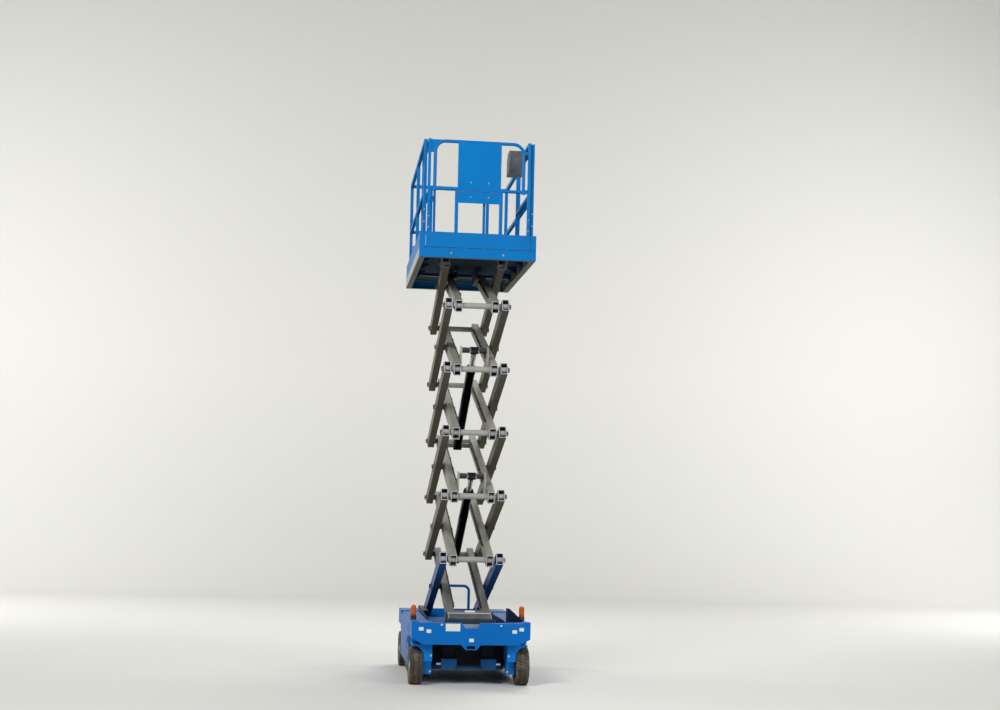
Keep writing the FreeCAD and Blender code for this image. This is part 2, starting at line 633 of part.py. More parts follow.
def lift_cylinder(name, level):
    """Barrel and rod of one lift cylinder."""
    foot_y = "pivot_y + cylinder_foot * cos(lift_angle)"
    foot_z = "pivot_z + %d * %s + cylinder_foot * sin(lift_angle)" % (level - 1, RISE)
    slope = "180 deg - atan(-%s / %s)" % (REACH_Z, REACH_Y)
    eye_half = "head_eye_width / 2"
    tube = rod("Y", "0", "0", "0", "barrel_radius", "barrel_length")
    foot_eye = across("0", "0", "barrel_radius + foot_eye_step", "-" + eye_half, eye_half)
    hollow = rod("Y", "0", "barrel_radius + foot_wall", "0", "barrel_bore", "barrel_length")
    seat = across("0", "0", "foot_bar_radius + pin_play", "-%s - %s" % (eye_half, PAST),
                  "%s + %s" % (eye_half, PAST))
    gland = rod("Y", "0", "barrel_length - gland_length", "0", "barrel_radius + gland_step",
                "gland_length")
    bore = rod("Y", "0", "barrel_length - gland_length - " + PAST, "0", "lift_rod_radius + rod_play",
               "gland_length + 2 * " + PAST)
    barrel = cut(fuse([cut(fuse([tube, foot_eye]), [hollow, seat]), gland]), [bore])
    turn_about_x(barrel, slope, foot_y, foot_z)
    node(name + "_barrel", barrel)
    shaft = rod("Y", "0", "piston_start", "0", "lift_rod_radius", REACH + " - piston_start")
    piston = rod("Y", "0", "piston_start", "0", "barrel_bore - rod_play", "piston_length")
    eye = across(REACH, "0", "head_eye_radius", "-" + eye_half, eye_half)
    eye_bore = across(REACH, "0", "pin_radius + pin_play", "-%s - %s" % (eye_half, PAST),
                      "%s + %s" % (eye_half, PAST))
    ram = cut(fuse([shaft, piston, eye]), [eye_bore])
    turn_about_x(ram, slope, foot_y, foot_z)
    node(name + "_rod", ram)


lift_cylinder("lower_cylinder", 1)
lift_cylinder("upper_cylinder", 3)

# Chassis
# Two full-width end boxes over the wheels, a trough between them for the folded arms and a
# deep centre frame under the trough.

HALF_WIDTH = "chassis_width / 2"
FAR_Y = "near_y + chassis_length"
NOSE_END = "near_y + end_box_length"
TAIL_START = "near_y + chassis_length - end_box_length"
STEER_Y = "near_y + axle_inset"
REAR_Y = "near_y + axle_inset + wheelbase"
WHEEL_X = "tyre_outer_x - tyre_width / 2"
TROUGH_WALL = "trough_half + shell"


def box_outline(inset):
    """Front view of an end box: chamfered lower corners, drawn inwards by an inset."""
    side = "%s - %s" % (HALF_WIDTH, inset)
    low = "chassis_low + %s" % inset
    high = "chassis_high - %s" % inset
    return (
        ("-(%s)" % side, high),
        ("-(%s)" % side, "chassis_low + chamfer_up + %s / 2" % inset),
        ("-(%s - chamfer_in - %s / 2)" % (HALF_WIDTH, inset), low),
        ("%s - chamfer_in - %s / 2" % (HALF_WIDTH, inset), low),
        (side, "chassis_low + chamfer_up + %s / 2" % inset),
        (side, high),
    )


def end_box(start, end, trough, face_low, face_high):
    """One end box: closed plates, with the trough and its side walls let into the top."""
    skin = outline(box_outline("0"), "XZ_Plane", start, end)
    room = outline(box_outline("shell"), "XZ_Plane", face_low, face_high)
    lining = box(("-(%s)" % TROUGH_WALL, TROUGH_WALL), trough, ("trough_floor - shell", "chassis_high"))
    gap = box(("-trough_half", "trough_half"), trough, ("trough_floor", "chassis_high + " + PAST))
    return cut(fuse([cut(skin, [room]), lining]), [gap])


nose = end_box("near_y", NOSE_END, ("near_y + trough_start", NOSE_END), "near_y + face_plate",
               NOSE_END + " - shell")
notch = outline(
    (
        ("-notch_width / 2", "chassis_high + 1"),
        ("-notch_foot / 2", "chassis_high - notch_depth"),
        ("notch_foot / 2", "chassis_high - notch_depth"),
        ("notch_width / 2", "chassis_high + 1"),
    ),
    "XZ_Plane",
    "near_y - " + PAST,
    "near_y + trough_start + " + PAST,
)
tab = outline(
    (
        ("-tab_width / 2", "chassis_low + 1"),
        ("-tab_foot / 2", "chassis_low - tab_drop"),
        ("tab_foot / 2", "chassis_low - tab_drop"),
        ("tab_width / 2", "chassis_low + 1"),
    ),
    "XZ_Plane",
    "near_y",
    "near_y + face_plate",
)
SLOT_TOP = "chassis_low - (tab_drop - tab_slot_height) / 2"
slot = box(
    ("-tab_slot_length / 2", "tab_slot_length / 2"),
    ("near_y - " + PAST, "near_y + face_plate + " + PAST),
    (SLOT_TOP + " - tab_slot_height", SLOT_TOP),
)
corner_ears = both(
    outline(
        (
            (HALF_WIDTH + " - ear_width", "chassis_high - 1"),
            (HALF_WIDTH, "chassis_high - 1"),
            (HALF_WIDTH, "chassis_high + ear_rise"),
            (HALF_WIDTH + " - ear_width * 0.6", "chassis_high + ear_rise"),
        ),
        "XZ_Plane",
        "near_y",
        "near_y + ear_depth",
    )
)
king_posts = both(rod("Z", WHEEL_X, STEER_Y, "chassis_low", "kingpin_radius + king_wall",
                      "kingpin_length + king_lid"))
king_bores = both(rod("Z", WHEEL_X, STEER_Y, "chassis_low - " + PAST, "kingpin_radius + kingpin_play",
                      "kingpin_length + yoke_gap + " + PAST + " - 2"))
node("chassis_nose", cut(fuse([nose, tab] + corner_ears + king_posts), [notch, slot] + king_bores))

# The tail carries two lugs with a hole for lashing the machine down.
tail = end_box(TAIL_START, FAR_Y, (TAIL_START, FAR_Y + " - face_plate"),
               TAIL_START + " + shell", FAR_Y + " - face_plate")
lug = outline(
    (
        (FAR_Y, "lug_z - lug_reach"),
        (FAR_Y + " + lug_reach * 0.6", "lug_z - lug_reach * 0.6"),
        (FAR_Y + " + lug_reach", "lug_z"),
        (FAR_Y + " + lug_reach * 0.6", "lug_z + lug_reach * 0.6"),
        (FAR_Y, "lug_z + lug_reach"),
    ),
    "YZ_Plane",
    "lug_x",
    "lug_x + lug_plate",
)
lug_hole = across(FAR_Y + " + lug_reach / 2", "lug_z", "lug_hole", "lug_x - " + PAST,
                  "lug_x + lug_plate + " + PAST)
node("chassis_tail", fuse([tail] + both(cut(lug, [lug_hole]))))

deep = box(("-(%s)" % TROUGH_WALL, TROUGH_WALL), (NOSE_END, TAIL_START), ("belly_low", "chassis_high"))
deep_room = box(("-trough_half", "trough_half"), (NOSE_END + " - " + PAST, TAIL_START + " + " + PAST),
                ("belly_low + shell", "trough_floor - shell"))
arm_room = box(("-trough_half", "trough_half"), (NOSE_END + " - " + PAST, TAIL_START + " + " + PAST),
               ("trough_floor", "chassis_high + " + PAST))
end_walls = [
    box(("-trough_half", "trough_half"), (y, y + " + shell"),
        ("belly_low + shell", "trough_floor - shell"))
    for y in (NOSE_END, TAIL_START + " - shell")
]
node("centre_frame", fuse([cut(deep, [deep_room, arm_room])] + end_walls))

# Sloping cover over the valves and cables, on the right of the trough only
cover = outline(
    (
        (TROUGH_WALL, "chassis_high"),
        (TROUGH_WALL, "chassis_high + cover_rise"),
        (TROUGH_WALL + " + cover_flat", "chassis_high + cover_rise"),
        (HALF_WIDTH + " - cover_inset", "chassis_high + cover_lip"),
        (HALF_WIDTH + " - cover_inset", "chassis_high"),
    ),
    "XZ_Plane",
    NOSE_END + " - cover_start",
    NOSE_END + " - cover_start + cover_length",
)
node("slant_cover", cover)

# Roller channels on the trough walls, open towards the arms
OUTER_FACE = "outer_x + arm_width / 2"
CHANNEL_FACE = OUTER_FACE + " + roller_gap"
FLANGE = "roller_radius + roller_play"
channel_y = ("pivot_y + arm_length * cos(travel_slope) - roller_radius - channel_spare",
             FAR_Y + " - face_plate")
outer = box((CHANNEL_FACE, "trough_half"), channel_y,
            ("pivot_z - %s - channel_plate" % FLANGE, "pivot_z + %s + channel_plate" % FLANGE))
inner = box((OUTER_FACE, CHANNEL_FACE + " + roller_width + roller_side"),
            (channel_y[0] + " - " + PAST, channel_y[1] + " + " + PAST),
            ("pivot_z - (%s)" % FLANGE, "pivot_z + " + FLANGE))
node("base_channels", fuse(both(cut(outer, [inner]))))

# Ears and pin of the lowest pivot
EAR_X = BOSS_X + " + ear_gap"
ear = outline(
    (
        ("pivot_y - base_ear_foot", "trough_floor"),
        ("pivot_y + base_ear_foot", "trough_floor"),
        ("pivot_y + base_ear_head", "pivot_z + base_ear_head"),
        ("pivot_y - base_ear_head", "pivot_z + base_ear_head"),
    ),
    "YZ_Plane",
    EAR_X,
    EAR_X + " + base_ear",
)
PIN_REACH = EAR_X + " + base_ear + pin_proud"
base_pin = across("pivot_y", "pivot_z", "pin_radius", "-(%s)" % PIN_REACH, PIN_REACH)
node("base_pivot", fuse(both(ear) + [base_pin]))

# Wheel legs
# A leg stands inside its tyre and widens towards its head.
LEG_OUTER = "tyre_outer_x - tyre_width - leg_gap"
LEG_INNER = LEG_OUTER + " - leg_width"


def wheel_leg(y, top):
    """Leg beside a wheel, with the stub axle that runs out into the hub."""
    shoulder = "tyre_radius + leg_length / 2"
    plate = outline(
        (
            (y + " - leg_length / 2", "leg_low"),
            (y + " + leg_length / 2", "leg_low"),
            (y + " + leg_length / 2", shoulder),
            (y + " + leg_head / 2", top),
            (y + " - leg_head / 2", top),
            (y + " - leg_length / 2", shoulder),
        ),
        "YZ_Plane",
        LEG_INNER,
        LEG_OUTER,
    )
    stub = across(y, "tyre_radius", "spindle_radius", LEG_OUTER, "tyre_outer_x - spindle_short")
    return [plate, stub]


node("rear_axle", fuse(both(fuse(wheel_leg(REAR_Y, "chassis_low")))))

# Steering yokes
# The leg carries a top plate over the tyre with the kingpin on it, and a plate fore and aft
# whose edge sweeps from the leg out to the top plate in a quarter round.
YOKE_TOP = "chassis_low - yoke_gap"
ARM_LOW = "chassis_low - yoke_gap - yoke_top_plate"


def yoke_cheek(y):
    """Upright plate of the yoke with the concave quarter-round edge over the tyre."""
    arch_z = ARM_LOW + " - yoke_arch"
    plate = outline(
        (
            (LEG_INNER, arch_z + " - yoke_tail"),
            (LEG_OUTER, arch_z + " - yoke_tail"),
            (LEG_OUTER, arch_z),
            (LEG_OUTER + " + yoke_arch", arch_z),
            (LEG_OUTER + " + yoke_arch", YOKE_TOP),
            (LEG_INNER, YOKE_TOP),
        ),
        "XZ_Plane",
        y,
        y + " + yoke_cheek",
    )
    sweep = rod("Y", LEG_OUTER + " + yoke_arch", y + " - " + PAST, arch_z, "yoke_arch",
                "yoke_cheek + 2 * " + PAST)
    return cut(plate, [sweep])


def yoke():
    """Right-hand yoke, with its kingpin."""
    lid = box((LEG_INNER, WHEEL_X + " + kingpin_radius + king_wall / 2"),
              (STEER_Y + " - yoke_reach", STEER_Y + " + yoke_reach"), (ARM_LOW, YOKE_TOP))
    pin = rod("Z", WHEEL_X, STEER_Y, ARM_LOW + " + yoke_top_plate / 3", "kingpin_radius",
              "yoke_top_plate * 2 / 3 + yoke_gap + kingpin_length - yoke_top_plate / 3")
    cheeks = [yoke_cheek(STEER_Y + " - yoke_reach"), yoke_cheek(STEER_Y + " + yoke_reach - yoke_cheek")]
    return fuse(wheel_leg(STEER_Y, YOKE_TOP) + cheeks + [lid, pin])


right_yoke = yoke()
node("yoke_right", right_yoke)
node("yoke_left", mirror(right_yoke))

# Wheels
# A solid tyre is one turned ring on a rim with a dished disc and a hub.


def turned(points):
    """A body of revolution about X from a closed outline of axial and radial places."""
    body, sketch = outline_sketch(points, "XZ_Plane", RING_LIFT)
    form = body.newObject("PartDesign::Revolution", "Revolution")
    form.Profile = sketch
    form.ReferenceAxis = (plane(body, "X_Axis"), [""])
    form.Angle = 360
    sketch.Visibility = False
    return body


half_tyre = "tyre_width / 2"
round_in = "tyre_round * 0.3"
TYRE = (
    ("-(%s)" % half_tyre, "rim_radius"),
    (half_tyre, "rim_radius"),
    (half_tyre, "tyre_radius - tyre_round"),
    ("%s - %s" % (half_tyre, round_in), "tyre_radius - " + round_in),
    (half_tyre + " - tyre_round", "tyre_radius"),
    ("-(%s - tyre_round)" % half_tyre, "tyre_radius"),
    ("-(%s - %s)" % (half_tyre, round_in), "tyre_radius - " + round_in),
    ("-(%s)" % half_tyre, "tyre_radius - tyre_round"),
)
bore = "spindle_radius + spindle_play"
band_end = "%s - rim_inset" % half_tyre
band_seat = "rim_radius - rim_wall"
hub_end = "%s - hub_inset" % half_tyre
RIM = (
    ("-(%s)" % band_end, "rim_radius"),
    ("-(%s)" % band_end, band_seat),
    ("disc_seat", band_seat),
    ("disc_seat + disc_dish", "hub_radius"),
    ("-(%s) + 2" % band_end, "hub_radius"),
    ("-(%s) + 2" % band_end, bore),
    (hub_end + " - hub_lid", bore),
    (hub_end + " - hub_lid", "0.01"),
    (hub_end, "0.01"),
    (hub_end, "hub_radius - hub_lid"),
    (hub_end + " - hub_lid", "hub_radius"),
    ("disc_seat + disc_dish + rim_disc", "hub_radius"),
    ("disc_seat + rim_disc", band_seat),
    (band_end, band_seat),
    (band_end, "rim_radius"),
)

WHEELS = (("steer_left", -1, STEER_Y), ("steer_right", 1, STEER_Y), ("rear_left", -1, REAR_Y),
          ("rear_right", 1, REAR_Y))
for name, side, axle_y in WHEELS:
    for kind, section in (("tyre", TYRE), ("rim", RIM)):
        form = turned(section)
        place(form, WHEEL_X, axle_y, "tyre_radius")
        if side < 0:
            form = mirror(form)
        node("%s_%s" % (kind, name), form)

# Steering cylinder under the nose: a chamfered block either side, joined low down
block = outline(
    (
        ("steer_block_inner", "steer_block_low + steer_chamfer"),
        ("steer_block_inner + steer_chamfer", "steer_block_low"),
        ("steer_block_outer", "steer_block_low"),
        ("steer_block_outer", "steer_block_high"),
        ("steer_block_inner", "steer_block_high"),
    ),
    "XZ_Plane",
    STEER_Y + " - steer_block_length / 2",
    STEER_Y + " + steer_block_length / 2",
)
hanger = box(
    ("steer_block_inner + steer_hanger", "steer_block_outer - steer_hanger"),
    (STEER_Y + " + steer_block_length / 2 - steer_hanger", STEER_Y + " + steer_block_length / 2"),
    ("steer_block_high", "chassis_low"),
)
bar = box(("-steer_block_outer", "steer_block_outer"), (STEER_Y + " - steer_bar", STEER_Y + " + steer_bar"),
          ("steer_block_low", "steer_block_low + steer_bar * 1.6"))
node("steer_carrier", fuse(both(fuse([block, hanger])) + [bar]))
node("steer_rods", fuse(both(across(STEER_Y, "steer_z", "steer_rod_radius", "steer_block_outer",
                                    "steer_rod_end"))))

# Side trays
tray_y = (NOSE_END + " + tray_near_gap", TAIL_START + " - tray_far_gap")
hinge_x = "tray_outer_x - knuckle_inset"
hinge_y = tray_y[1] + " + knuckle_out"
TRAY_KNUCKLES = ("chassis_low + tray_knuckle_low", "chassis_high - tray_knuckle_high")
LOUVRES = 5


def tray_outline(inset):
    """End view of a tray with its sloped top edge, drawn inwards by an inset."""
    return (
        ("tray_inner_x + " + inset, "tray_low + " + inset),
        ("tray_outer_x - " + inset, "tray_low + " + inset),
        ("tray_outer_x - " + inset, "tray_high - tray_slope - " + inset),
        ("tray_outer_x - tray_slope - " + inset, "tray_high - " + inset),
        ("tray_inner_x + " + inset, "tray_high - " + inset),
    )


def tray():
    """Right-hand swing-out tray: a thin shell with ribs, louvres and hinge knuckles."""
    skin = outline(tray_outline("0"), "XZ_Plane", *tray_y)
    room = outline(tray_outline("tray_plate"), "XZ_Plane", tray_y[0] + " + tray_plate",
                   tray_y[1] + " - tray_plate")
    louvres = [
        box(("tray_outer_x - tray_plate - 1", "tray_outer_x + 1"),
            (tray_y[0] + " + louvre_inset", tray_y[0] + " + louvre_inset + louvre_length"),
            ("louvre_z + %d * louvre_pitch" % row, "louvre_z + %d * louvre_pitch + louvre_gap" % row))
        for row in range(LOUVRES)
    ]
    ribs = [
        box(("tray_outer_x - 1", "tray_outer_x + rib_proud"),
            (tray_y[0] + " + rib_inset", tray_y[1] + " - rib_inset"), (z, z + " + rib_height"))
        for z in ("tray_low + rib_inset", "tray_high - tray_slope - rib_inset - rib_height")
    ]
    body = [cut(skin, [room] + louvres)] + ribs
    holes = []
    for z in TRAY_KNUCKLES:
        upper = z + " + knuckle_length + knuckle_gap"
        body.append(rod("Z", hinge_x, hinge_y, upper, "knuckle_radius", "knuckle_length"))
        body.append(box((hinge_x + " - knuckle_radius", hinge_x + " + knuckle_radius / 2"),
                        (tray_y[1] + " - tray_plate / 2", hinge_y + " - knuckle_radius * 0.7"),
                        (upper, upper + " + knuckle_length")))
        holes.append(rod("Z", hinge_x, hinge_y, z, "knuckle_pin + knuckle_play",
                         "2 * knuckle_length + knuckle_gap + " + PAST))
    return cut(fuse(body), holes)


fixed = []
for z in TRAY_KNUCKLES:
    fixed.append(rod("Z", hinge_x, hinge_y, z, "knuckle_radius", "knuckle_length"))
    fixed.append(rod("Z", hinge_x, hinge_y, z, "knuckle_pin", "2 * knuckle_length + knuckle_gap"))
    fixed.append(box((hinge_x + " - knuckle_radius", hinge_x + " + knuckle_radius / 2"),
                     (hinge_y + " + knuckle_radius / 2", TAIL_START), (z, z + " + knuckle_length")))
node("tray_hinges", fuse(both(fuse(fixed))))

right_tray = tray()
node("tray_right", right_tray)
node("tray_left", mirror(right_tray))

BLOCK_X = ("tray_inner_x + block_gap", "tray_outer_x - block_gap")
battery = box(BLOCK_X, (tray_y[0] + " + block_inset", tray_y[1] + " - block_inset"),
              ("tray_low + tray_plate", "tray_low + battery_height"))
node("batteries", mirror(battery))
tank = box(BLOCK_X, (tray_y[0] + " + block_inset", tray_y[0] + " + tank_length"),
           ("tray_low + tray_plate", "tray_low + tank_height"))
node("hydraulic_unit", tank)

# Pothole guards, down at rest
# Each is a tapered bar that hangs from a tube along its top edge, on a pin at either end.
guard_ends = ("guard_mid_y - guard_half_length", "guard_mid_y + guard_half_length")
BRACKET_LOW = "guard_hinge_z + guard_barrel + guard_bracket"


def guard():
    """Right-hand guard."""
    plate = outline(
        (
            (guard_ends[0], "guard_hinge_z"),
            (guard_ends[0], "guard_hinge_z - guard_height * 0.4"),
            (guard_ends[0] + " + guard_taper", "guard_hinge_z - guard_height"),
            (guard_ends[1] + " - guard_taper", "guard_hinge_z - guard_height"),
            (guard_ends[1], "guard_hinge_z - guard_height * 0.4"),
            (guard_ends[1], "guard_hinge_z"),
        ),
        "YZ_Plane",
        "guard_x - guard_plate / 2",
        "guard_x + guard_plate / 2",
    )
    tube = rod("Y", "guard_x", guard_ends[0], "guard_hinge_z", "guard_barrel", "2 * guard_half_length")
    holes = [
        rod("Y", "guard_x", y, "guard_hinge_z", "guard_pin + knuckle_play", "guard_pin_depth + " + PAST)
        for y in (guard_ends[0] + " - " + PAST, guard_ends[1] + " - guard_pin_depth")
    ]
    return cut(fuse([plate, tube]), holes)


right_guard = guard()
node("pothole_guard_right", right_guard)
node("pothole_guard_left", mirror(right_guard))
brackets = []
for y, pin_y in (
    (guard_ends[0] + " - knuckle_gap - guard_bracket", guard_ends[0] + " - knuckle_gap - guard_bracket"),
    (guard_ends[1] + " + knuckle_gap", guard_ends[1] + " - guard_pin_depth + " + PAST),
):
    brackets.append(box((TROUGH_WALL, "guard_x + guard_barrel"), (y, y + " + guard_bracket"),
                        (BRACKET_LOW, BRACKET_LOW + " + guard_bracket")))
    brackets.append(box(("guard_x - guard_barrel", "guard_x + guard_barrel"), (y, y + " + guard_bracket"),
                        ("guard_hinge_z - guard_barrel", BRACKET_LOW + " + guard_bracket")))
    brackets.append(rod("Y", "guard_x", pin_y, "guard_hinge_z", "guard_pin",
                        "guard_pin_depth + guard_bracket + knuckle_gap - " + PAST))
node("guard_brackets", fuse(both(fuse(brackets))))

# Beacons on the chassis: a base and a domed lens either side
beacon_y = "near_y + beacon_inset"
LENS_LOW = "chassis_high + beacon_base"
LENS_RADIUS = "beacon_radius - beacon_step"
base = rod("Z", "beacon_x", beacon_y, "chassis_high", "beacon_radius", "beacon_base")
node("beacon_bases", fuse(both(base)))
lens = rod("Z", "beacon_x", beacon_y, LENS_LOW, LENS_RADIUS, "beacon_lens - (%s)" % LENS_RADIUS)
dome = doc.addObject("Part::Sphere", "Dome")
bind(dome, "Radius", LENS_RADIUS)
place(dome, "beacon_x", beacon_y, LENS_LOW + " + beacon_lens - (%s)" % LENS_RADIUS)
node("beacon_lenses", fuse(both(fuse([lens, dome]))))

# Bent tube


def hoop(half, y, low, top, bend, radius):
    """An upright loop across the machine: two legs, two quarter bends and a top bar."""
    leg = rod("Z", half, y, low, radius, "(%s) - (%s) - (%s)" % (top, low, bend))
    elbow = doc.addObject("Part::Torus", "Elbow")
    bind(elbow, "Radius1", bend)
    bind(elbow, "Radius2", radius)
    elbow.Angle3 = 90
    elbow.Placement = FreeCAD.Placement(FreeCAD.Vector(), FreeCAD.Rotation(FreeCAD.Vector(1, 0, 0), 90))
    place(elbow, "%s - (%s)" % (half, bend), y, "(%s) - (%s)" % (top, bend))
    bar_end = "%s - (%s)" % (half, bend)
    return both(leg) + both(elbow) + [across(y, top, radius, "-(%s)" % bar_end, bar_end)]


# Entry ladder on the rear face
ladder_y = FAR_Y + " + ladder_depth - ladder_tube / 2"
STAY_REACH = "ladder_depth - ladder_tube / 2"
stays = [
    rod("Y", "ladder_width / 2", FAR_Y, z, "ladder_tube / 2 - stay_thin", STAY_REACH)
    for z in ("chassis_high - stay_inset", "chassis_low + stay_inset")
]
steps = [
    box(("-ladder_width / 2", "ladder_width / 2"),
        (ladder_y + " - step_depth", ladder_y + " + ladder_tube / 2"),
        ("%s - step_plate / 2" % z, "%s + step_plate / 2" % z))
    for z in ("ladder_low + step_plate", "ladder_low + step_rise")
]
ladder_loop = hoop("ladder_width / 2", ladder_y, "ladder_low", "ladder_high", "ladder_bend", "ladder_tube / 2")
node("entry_ladder", fuse(ladder_loop + both(fuse(stays)) + steps))

# Platform
PIN_Z = "(pivot_z + (5 * arm_length + arm_length / 2 + top_half) * sin(lift_angle))"
PIN_Y = "(pivot_y + (arm_length / 2 - top_half) * cos(lift_angle))"
DECK_LOW = PIN_Z + " + deck_height"
DECK = PIN_Z + " + deck_height + deck_plate"
FRONT = "near_y + platform_inset"
BACK = "near_y + platform_inset + platform_length"
EDGE = "platform_width / 2"
BEAM_FACE = EDGE + " - side_beam"
frame_z = (PIN_Z + " - frame_drop", DECK_LOW)

# The frame is a ring of channels open towards the middle.
skin = box(("-(%s)" % EDGE, EDGE), (FRONT, BACK), frame_z)
room = box(("-(%s)" % BEAM_FACE, BEAM_FACE), (FRONT + " + side_beam", BACK + " - side_beam"),
           (frame_z[0] + " - " + PAST, frame_z[1] + " + " + PAST))
groove = box(("-(%s) + frame_plate" % EDGE, EDGE + " - frame_plate"),
             (FRONT + " + frame_plate", BACK + " - frame_plate"),
             (frame_z[0] + " + frame_plate", frame_z[1] + " - frame_plate"))
slide_y = (PIN_Y + " + 2 * top_half * cos(travel_slope) - roller_radius - channel_spare",
           PIN_Y + " + 2 * top_half + roller_radius + channel_spare")
FAR_MEMBER = slide_y[1] + " + member_past"
members = [
    box(("-(%s) + frame_plate" % EDGE, EDGE + " - frame_plate"),
        (y + " - member_width / 2", y + " + member_width / 2"),
        (DECK_LOW + " - member_depth", DECK_LOW))
    for y in (PIN_Y + " - member_near", FAR_MEMBER)
]
ribs = []
for y in (FRONT + " + rib_start", FRONT + " + rib_start + rib_pitch", FRONT + " + rib_start + 2 * rib_pitch"):
    ribs += both(
        outline(
            (
                (EDGE + " - frame_plate", DECK_LOW),
                (EDGE + " - frame_plate", frame_z[0] + " + frame_plate"),
                (BEAM_FACE, frame_z[0] + " + frame_plate"),
                (BEAM_FACE + " - rib_reach", DECK_LOW + " - frame_plate * 2"),
                (BEAM_FACE + " - rib_reach", DECK_LOW),
            ),
            "XZ_Plane",
            y,
            y + " + frame_plate",
        )
    )
EAR_START = "outer_x + arm_width / 2 + top_ear_gap"
ears = outline(
    (
        (PIN_Y + " - top_ear_head", PIN_Z + " - top_ear_drop"),
        (PIN_Y + " + top_ear_head", PIN_Z + " - top_ear_drop"),
        (PIN_Y + " + 2 * top_ear_head", DECK_LOW),
        (PIN_Y + " - member_near", DECK_LOW),
    ),
    "YZ_Plane",
    EAR_START,
    EAR_START + " + top_ear",
)
ear_bore = across(PIN_Y, PIN_Z, "pin_radius + pin_play", EAR_START + " - " + PAST,
                  EAR_START + " + top_ear + " + PAST)
SLIDE_X = INNER_FACE + " - roller_gap - roller_width - roller_side - channel_plate"
slide_skin = box((SLIDE_X, INNER_FACE + " - roller_gap"), slide_y,
                 (PIN_Z + " - (%s) - channel_plate" % FLANGE, DECK_LOW))
slide_room = box((SLIDE_X + " + channel_plate", INNER_FACE),
                 (slide_y[0] + " - " + PAST, slide_y[1] + " + " + PAST),
                 (PIN_Z + " - (%s)" % FLANGE, PIN_Z + " + " + FLANGE))
spine = box((SLIDE_X, INNER_FACE + " - roller_gap"),
            (slide_y[1] + " - channel_plate", FAR_MEMBER),
            (DECK_LOW + " - member_depth / 2", DECK_LOW))
carriers = both(cut(ears, [ear_bore])) + both(cut(slide_skin, [slide_room])) + both(spine)
node("platform_frame", fuse([cut(skin, [room, groove])] + members + ribs + carriers))

node("platform_deck", box(("-(%s)" % EDGE, EDGE), (FRONT, BACK), (DECK_LOW, DECK)))

RAIL_X = EDGE + " - rail_inset"
TOP = DECK + " + rail_height"
MID = DECK + " + mid_rail"


def post(x, y, z_low, z_high, tube="rail_tube"):
    """Square upright tube, drawn solid, centred on x, y."""
    return box(("%s - %s / 2" % (x, tube), "%s + %s / 2" % (x, tube)),
               ("%s - %s / 2" % (y, tube), "%s + %s / 2" % (y, tube)), (z_low, z_high))


def socket(x, y, inner, outer):
    """Folded bracket round the foot of a post, sloped towards the platform, on the deck."""
    return outline(
        (
            (inner, DECK),
            (outer, DECK),
            (outer, DECK + " + socket_height"),
            (x, DECK + " + socket_height"),
            (inner, DECK + " + socket_height / 2"),
        ),
        "XZ_Plane",
        y + " - rail_tube / 2 - socket_plate",
        y + " + rail_tube / 2 + socket_plate",
    )


post_ys = (FRONT + " + post_inset", FRONT + " + platform_length / 2", BACK + " - end_inset")
side_parts = [post(RAIL_X, y, DECK, TOP) for y in post_ys]
side_parts += [
    socket(RAIL_X, y, RAIL_X + " - rail_tube / 2 + socket_plate / 2", EDGE + " - toe_inset")
    for y in post_ys[1:2]
]
side_parts += [
    box((RAIL_X + " - rail_tube / 2", RAIL_X + " + rail_tube / 2"),
        (FRONT + " + post_inset - rail_tube / 2", BACK + " - end_inset + rail_tube / 2"),
        (z + " - rail_tube", z))
    for z in (TOP, MID)
]
TOE_FACE = EDGE + " - toe_inset"
toe_y = (FRONT + " + toe_start", BACK)
side_parts.append(box((TOE_FACE + " - toe_plate", TOE_FACE), toe_y, (DECK, DECK + " + toe_height")))
side_parts.append(box((RAIL_X, TOE_FACE), toe_y, (DECK, DECK + " + toe_plate")))
side_parts.append(box((TOE_FACE + " - toe_lip", TOE_FACE), toe_y,
                      (DECK + " + toe_height - toe_plate", DECK + " + toe_height")))
side_parts.append(box(("toe_half + toe_side", EDGE), (FRONT, toe_y[0] + " + toe_plate"),
                      (DECK, DECK + " + toe_height")))
side_parts.append(box(("toe_half + toe_side", RAIL_X), (FRONT, FRONT + " + post_inset"),
                      (DECK, DECK + " + toe_lip")))
right_rails = fuse(side_parts)
node("guardrail_right", right_rails)
node("guardrail_left", mirror(right_rails))

GATE_X = "gate_half + gate_clear + rail_tube / 2"
gate_y = BACK + " - end_inset"
rear_parts = [post(GATE_X, gate_y, DECK, TOP)]
rear_parts += [
    box((GATE_X, RAIL_X + " - rail_tube / 2"), (gate_y + " - rail_tube / 2", gate_y + " + rail_tube / 2"),
        (z + " - rail_tube", z))
    for z in (TOP, MID)
]
rear_parts.append(box((GATE_X, RAIL_X + " - rail_tube / 2"), (gate_y, gate_y + " + toe_plate"),
                      (DECK, DECK + " + toe_height")))
gate_hinge_x = "-gate_half - gate_clear / 2"
gate_hinge_y = gate_y + " - rail_tube / 2 - knuckle_radius"
GATE_KNUCKLES = (DECK + " + gate_hinge_low", DECK + " + gate_hinge_high")
gate_fixed = []
for z in GATE_KNUCKLES:
    gate_fixed.append(rod("Z", gate_hinge_x, gate_hinge_y, z, "knuckle_radius", "knuckle_length"))
    gate_fixed.append(rod("Z", gate_hinge_x, gate_hinge_y, z, "knuckle_pin",
                          "2 * knuckle_length + knuckle_gap"))
    gate_fixed.append(box(("-(%s) - rail_tube / 2" % GATE_X, gate_hinge_x + " - knuckle_radius / 2"),
                          (gate_hinge_y + " - knuckle_radius / 2", gate_y), (z, z + " + knuckle_length")))
node("guardrail_rear", fuse(both(fuse(rear_parts)) + gate_fixed))

